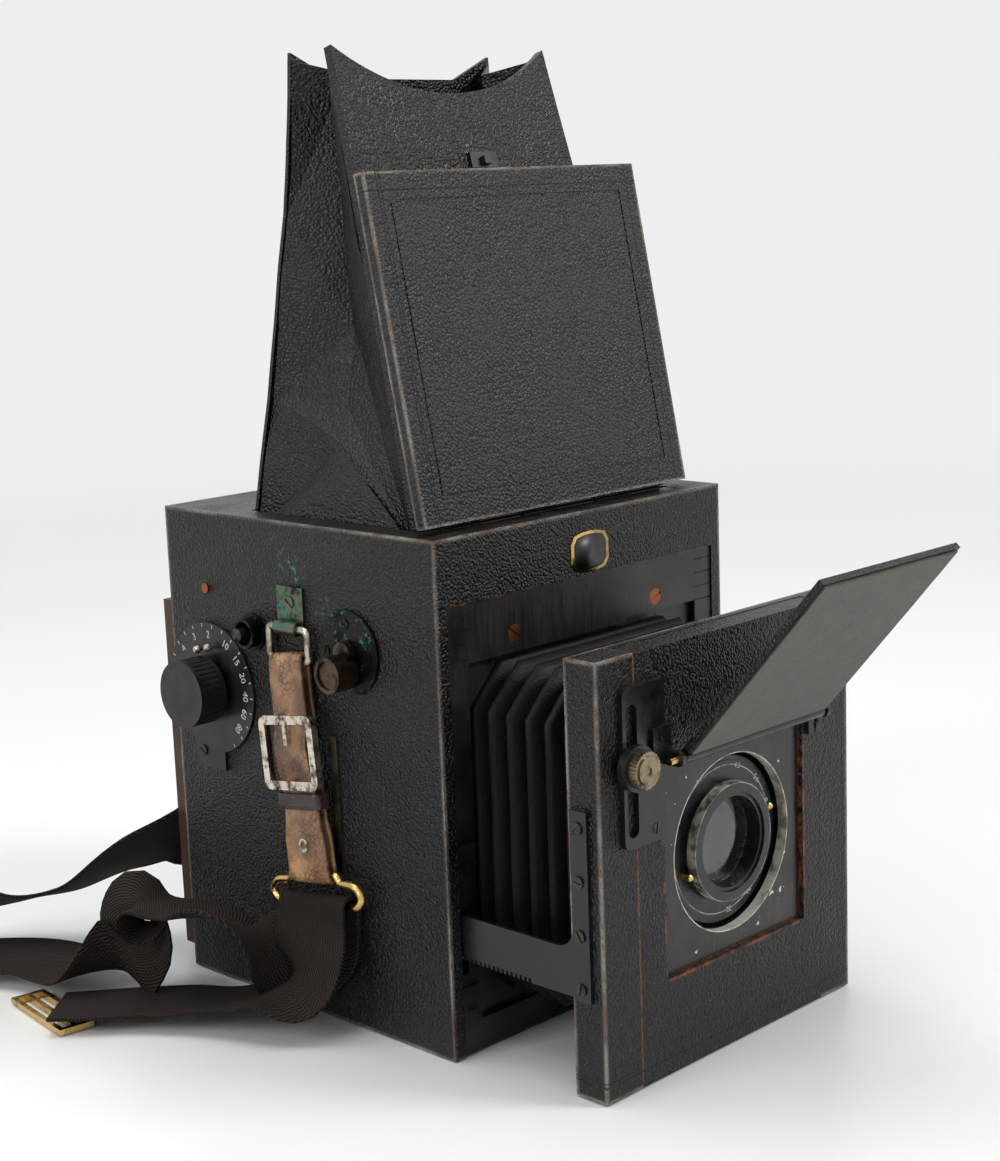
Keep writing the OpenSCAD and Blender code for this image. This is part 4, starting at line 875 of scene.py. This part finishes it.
def tick_tree():
    tree = bpy.data.node_groups.new("ticks_on_arc", "GeometryNodeTree")
    face = tree.interface
    face.new_socket("Geometry", in_out="OUTPUT", socket_type="NodeSocketGeometry")
    for label, kind in (("Count", "Int"), ("Radius", "Float"), ("First", "Float"), ("Last", "Float"),
                        ("Length", "Float"), ("Width", "Float"), ("Finish", "Material")):
        face.new_socket(label, in_out="INPUT", socket_type="NodeSocket" + kind)
    given = tree.nodes.new("NodeGroupInput").outputs
    points = add(tree, "GeometryNodePoints", {"Count": given["Count"]}).outputs[0]
    index = add(tree, "GeometryNodeInputIndex", {}).outputs[0]
    last_index = math_of("SUBTRACT", given["Count"], 1)
    share = math_of("DIVIDE", index, last_index)
    span = math_of("SUBTRACT", given["Last"], given["First"])
    angle = math_of("MULTIPLY_ADD", share, span, given["First"])
    x = times(math_of("SINE", angle), given["Radius"])
    y = times(math_of("COSINE", angle), given["Radius"])
    spot = add(tree, "ShaderNodeCombineXYZ", {0: x, 1: y}).outputs[0]
    placed = add(tree, "GeometryNodeSetPosition", {"Geometry": points, "Position": spot}).outputs[0]
    size = add(tree, "ShaderNodeCombineXYZ", {0: given["Width"], 1: given["Length"], 2: PAINT_THICK}).outputs[0]
    bar_mesh = add(tree, "GeometryNodeMeshCube", {"Size": size}).outputs[0]
    spin = add(tree, "ShaderNodeCombineXYZ", {2: times(angle, -1)}).outputs[0]
    set_out = add(tree, "GeometryNodeInstanceOnPoints",
                  {"Points": placed, "Instance": bar_mesh, "Rotation": spin}).outputs[0]
    real = add(tree, "GeometryNodeRealizeInstances", {0: set_out}).outputs[0]
    done = add(tree, "GeometryNodeSetMaterial", {"Geometry": real, "Material": given["Finish"]}).outputs[0]
    add(tree, "NodeGroupOutput", {0: done})
    return tree


def from_tree(name, tree, values):
    holder = new_piece(name, [], [])
    run = holder.modifiers.new("tree", "NODES")
    run.node_group = tree
    for item in tree.interface.items_tree:
        if item.in_out == "INPUT" and item.name in values:
            run[item.identifier] = values[item.name]
    return finish_modifiers(holder)


def place_flat(piece, middle, across, upward):
    """Puts a flat piece, drawn in its own X and Y, on a face: X goes along across and Y along upward."""
    across, upward = Vector(across), Vector(upward)
    facing = Matrix((across, upward, across.cross(upward))).transposed().to_4x4()
    piece.data.transform(Matrix.Translation(Vector(middle)) @ facing)


white_fill, shader, place = start("ivory_paint_fill")
soiled = ramp(grain(place, 0.8, 4), 0.40, 0.75)
feed(shader, {"Base Color": blend_colours(soiled, "#cfcac0", "#6f6a62"), "Roughness": 0.6})

DIAL = Vector((-79.2, 51.9, 120.4)) * MM               # the middle of the dial's face
tick_arc = {"Count": 17, "Radius": 0.0247, "First": math.radians(-80), "Last": math.radians(150),
            "Length": 0.0014, "Width": 0.0004, "Finish": white_fill}
dial_ticks = from_tree("dial_ticks", tick_tree(), tick_arc)
# a hair off the face, so that the paint stands a little proud of it
place_flat(dial_ticks, DIAL + Vector((-0.00004, 0, 0)), (0, -1, 0), (0, 0, 1))
print("ticks", len(dial_ticks.data.polygons) // 6)

# %% Numbers on the dial and the aperture ring
def number(text, size):
    curve = bpy.data.curves.new("number", "FONT")
    curve.body, curve.size, curve.extrude = text, size, PAINT_THICK / 2
    curve.align_x, curve.align_y, curve.resolution_u = "CENTER", "CENTER", 3
    maker = bpy.data.objects.new("number", curve)
    bpy.context.scene.collection.objects.link(maker)
    bpy.context.view_layer.update()
    mesh = bpy.data.meshes.new_from_object(maker.evaluated_get(bpy.context.evaluated_depsgraph_get()))
    bpy.data.objects.remove(maker)
    return mesh


def numbers_round(name, labels, radius, size):
    """labels is (text, angle in degrees, clockwise from the top)."""
    bm = bmesh.new()
    for text, angle in labels:
        mesh = number(text, size)
        a = math.radians(angle)
        spot = Matrix.Translation((radius * math.sin(a), radius * math.cos(a), 0))
        mesh.transform(spot @ Matrix.Rotation(-a, 4, "Z"))
        bm.from_mesh(mesh)
        bpy.data.meshes.remove(mesh)
    made = new_piece(name, [], [])
    bm.to_mesh(made.data)
    bm.free()
    give(made, white_fill)
    return made


SPEEDS = [("5", -75), ("4", -50), ("3", -25), ("2", 0), ("10", 30), ("15", 52), ("20", 72), ("40", 92),
          ("60", 112), ("80", 132)]
dial_numbers = numbers_round("dial_numbers", SPEEDS, 0.0210, 0.0042)
place_flat(dial_numbers, DIAL + Vector((-0.00006, 0, 0)), (0, -1, 0), (0, 0, 1))
for marks in (dial_ticks, dial_numbers):
    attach(marks, "case")

# %% [markdown]
# ## Stops of the lens
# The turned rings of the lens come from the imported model. Only the stop numbers are added here. They are
# generic ones, are set on the face of the aperture ring and turn with it.

# %% Stop numbers
ring_low, ring_high = (Vector(c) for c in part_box("aperture_ring"))
RING_MIDDLE = Vector(((ring_low.x + ring_high.x) / 2, ring_low.y, (ring_low.z + ring_high.z) / 2))
RING_OUT = (ring_high.z - ring_low.z) / 2
STOPS = [("4.5", 20), ("5.6", 48), ("8", 72), ("11", 96), ("16", 122), ("22", 148), ("32", 174)]
stop_numbers = numbers_round("stop_numbers", STOPS, RING_OUT - 0.0034, 0.0030)
place_flat(stop_numbers, RING_MIDDLE + Vector((0, -0.00006, 0)), (1, 0, 0), (0, 0, 1))
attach(stop_numbers, "aperture")
print("aperture ring", RING_MIDDLE, RING_OUT)

# %% [markdown]
# ## Felt and shutter cloth
# The underside of the sky shade is lined with felt, a thin pad whose face is slightly uneven. The curtain of
# the shutter is rubbered cloth and keeps its form.

# %% Felt lining and curtain
def lining_of(node, name):
    piece = copy_of(node, name, cuts=5)
    for v in piece.data.vertices:
        v.co += Vector((0, 0, 0.12 * MM * noise.fractal(v.co * 260, 1.0, 2.0, 3)))
    give(piece, felt)
    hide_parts(node)
    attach(piece, "flap")


lining_of("flap_lining", "flap_felt")
curtain = copy_of("curtain", "shutter_curtain", cuts=2)
give(curtain, shutter_cloth)
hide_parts("curtain")
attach(curtain, "case")

# %% [markdown]
# ## Badge
# The front of the case has a small gilt badge. Here it is plain: a gilt rim round a black middle, with no words.

# %% Plain badge
BADGE_X, BADGE_Z = 1.5, 174.6


def badge_ring(size, y):
    corners = [(-10.2, 3.6), (-8.2, 6.6), (-4, 7.5), (0, 7.7), (4, 7.5), (8.2, 6.6), (10.2, 3.6)]
    corners += [(x, -z) for x, z in reversed(corners)]
    return [Vector((BADGE_X + x * size, y, BADGE_Z + z * size)) * MM for x, z in corners]


case_front = case_low.y / MM
badge_rim = loft("badge_rim", [badge_ring(1.0, case_front + 0.1), badge_ring(1.0, case_front - 0.3)])
badge_middle = loft("badge_middle", [badge_ring(0.86, case_front), badge_ring(0.86, case_front - 0.36)])
for piece, finish, kind in ((badge_rim, brass, "brass"), (badge_middle, black_paint, "iron")):
    give(piece, finish)
    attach(piece, "case")
print("badge at", badge_rim.data.vertices[0].co)

# %% [markdown]
# ## Floor and light
# The camera stands on a pale sheet that curves up into a wall all round, so no line shows where they meet, from
# any side. Far from the camera the sheet also glows, so that it stays pale where the lamps don't reach. Soft
# lamps from above and from both sides draw the highlights along the leather edges.

# %% Backdrop
def backdrop():
    """A shallow bowl: a flat floor, a bend and an upright wall, turned round Z."""
    reach, bend_r, high, steps, sides = 2.3, 0.9, 3.0, 12, 72
    bend = [math.pi / 2 * k / steps for k in range(1, steps + 1)]
    profile = [(0.001, 0), (0.8, 0), (reach, 0)]
    profile += [(reach + bend_r * math.sin(a), bend_r - bend_r * math.cos(a)) for a in bend]
    profile += [(reach + bend_r, high)]
    round_z = [2 * math.pi * k / sides for k in range(sides)]
    rows = [[Vector((r * math.cos(a), r * math.sin(a), z)) for a in round_z] for r, z in profile]
    return loft("backdrop", rows, ends=False)


def seen_directly(tree):
    """1 for what the eye sees, also in a reflection or through glass, and 0 for light on other surfaces."""
    path = add(tree, "ShaderNodeLightPath", {}).outputs
    indirect = math_of("MAXIMUM", path["Is Glossy Ray"], path["Is Transmission Ray"])
    return math_of("MAXIMUM", path["Is Camera Ray"], indirect)


GLOW_FROM, GLOW_FULL, GLOW_SHARE = 0.45, 1.9, 0.92
sheet_floor = backdrop()
paper, shader, place = start("pale_backdrop_sheet")
feed(shader, {"Base Color": colour("#ececea"), "Roughness": 0.34})
tree = place.id_data
far_off = add(tree, "ShaderNodeVectorMath", {0: place}, operation="LENGTH").outputs["Value"]
lit = times(seen_directly(tree), ramp(far_off, GLOW_FROM, GLOW_FULL, 0.0, GLOW_SHARE))
glow = add(tree, "ShaderNodeEmission", {"Color": colour("#f1f2f3"), "Strength": 1.0}).outputs[0]
both_ways = add(tree, "ShaderNodeMixShader", {0: lit, 1: shader.outputs[0], 2: glow}).outputs[0]
feed(tree.nodes["Material Output"], {"Surface": both_ways})
give(sheet_floor, paper)
sheet_floor.location.z = -0.0002                       # a hair under the camera, so that no faces coincide

# %% Lamps and sky
MIDDLE = Vector((0, -0.03, 0.15))
ROOM_LIGHT = 0.55                                      # the room looks full bright but lights only with this


def lamp(name, place, size, power):
    """A square lamp that faces the camera; size in metres and power in watts."""
    data = bpy.data.lights.new(name, "AREA")
    data.size, data.energy = size, power
    made = bpy.data.objects.new(name, data)
    bpy.context.scene.collection.objects.link(made)
    away = Vector(place) - MIDDLE
    made.matrix_world = Matrix.Translation(Vector(place)) @ away.to_track_quat("Z", "Y").to_matrix().to_4x4()


lamp("key_front_right", (0.75, -1.25, 1.25), 0.5, 16)
lamp("fill_left", (-1.45, 0.15, 0.85), 0.6, 8)
lamp("top_soft", (-0.1, 0.25, 1.6), 1.1, 13)

world = bpy.data.worlds.new("white_room")
bpy.context.scene.world = world
world.use_nodes = True
bright = math_of("MULTIPLY_ADD", seen_directly(world.node_tree), 1 - ROOM_LIGHT, ROOM_LIGHT)
feed(world.node_tree.nodes["Background"], {"Color": colour("#f4f5f6"), "Strength": bright})
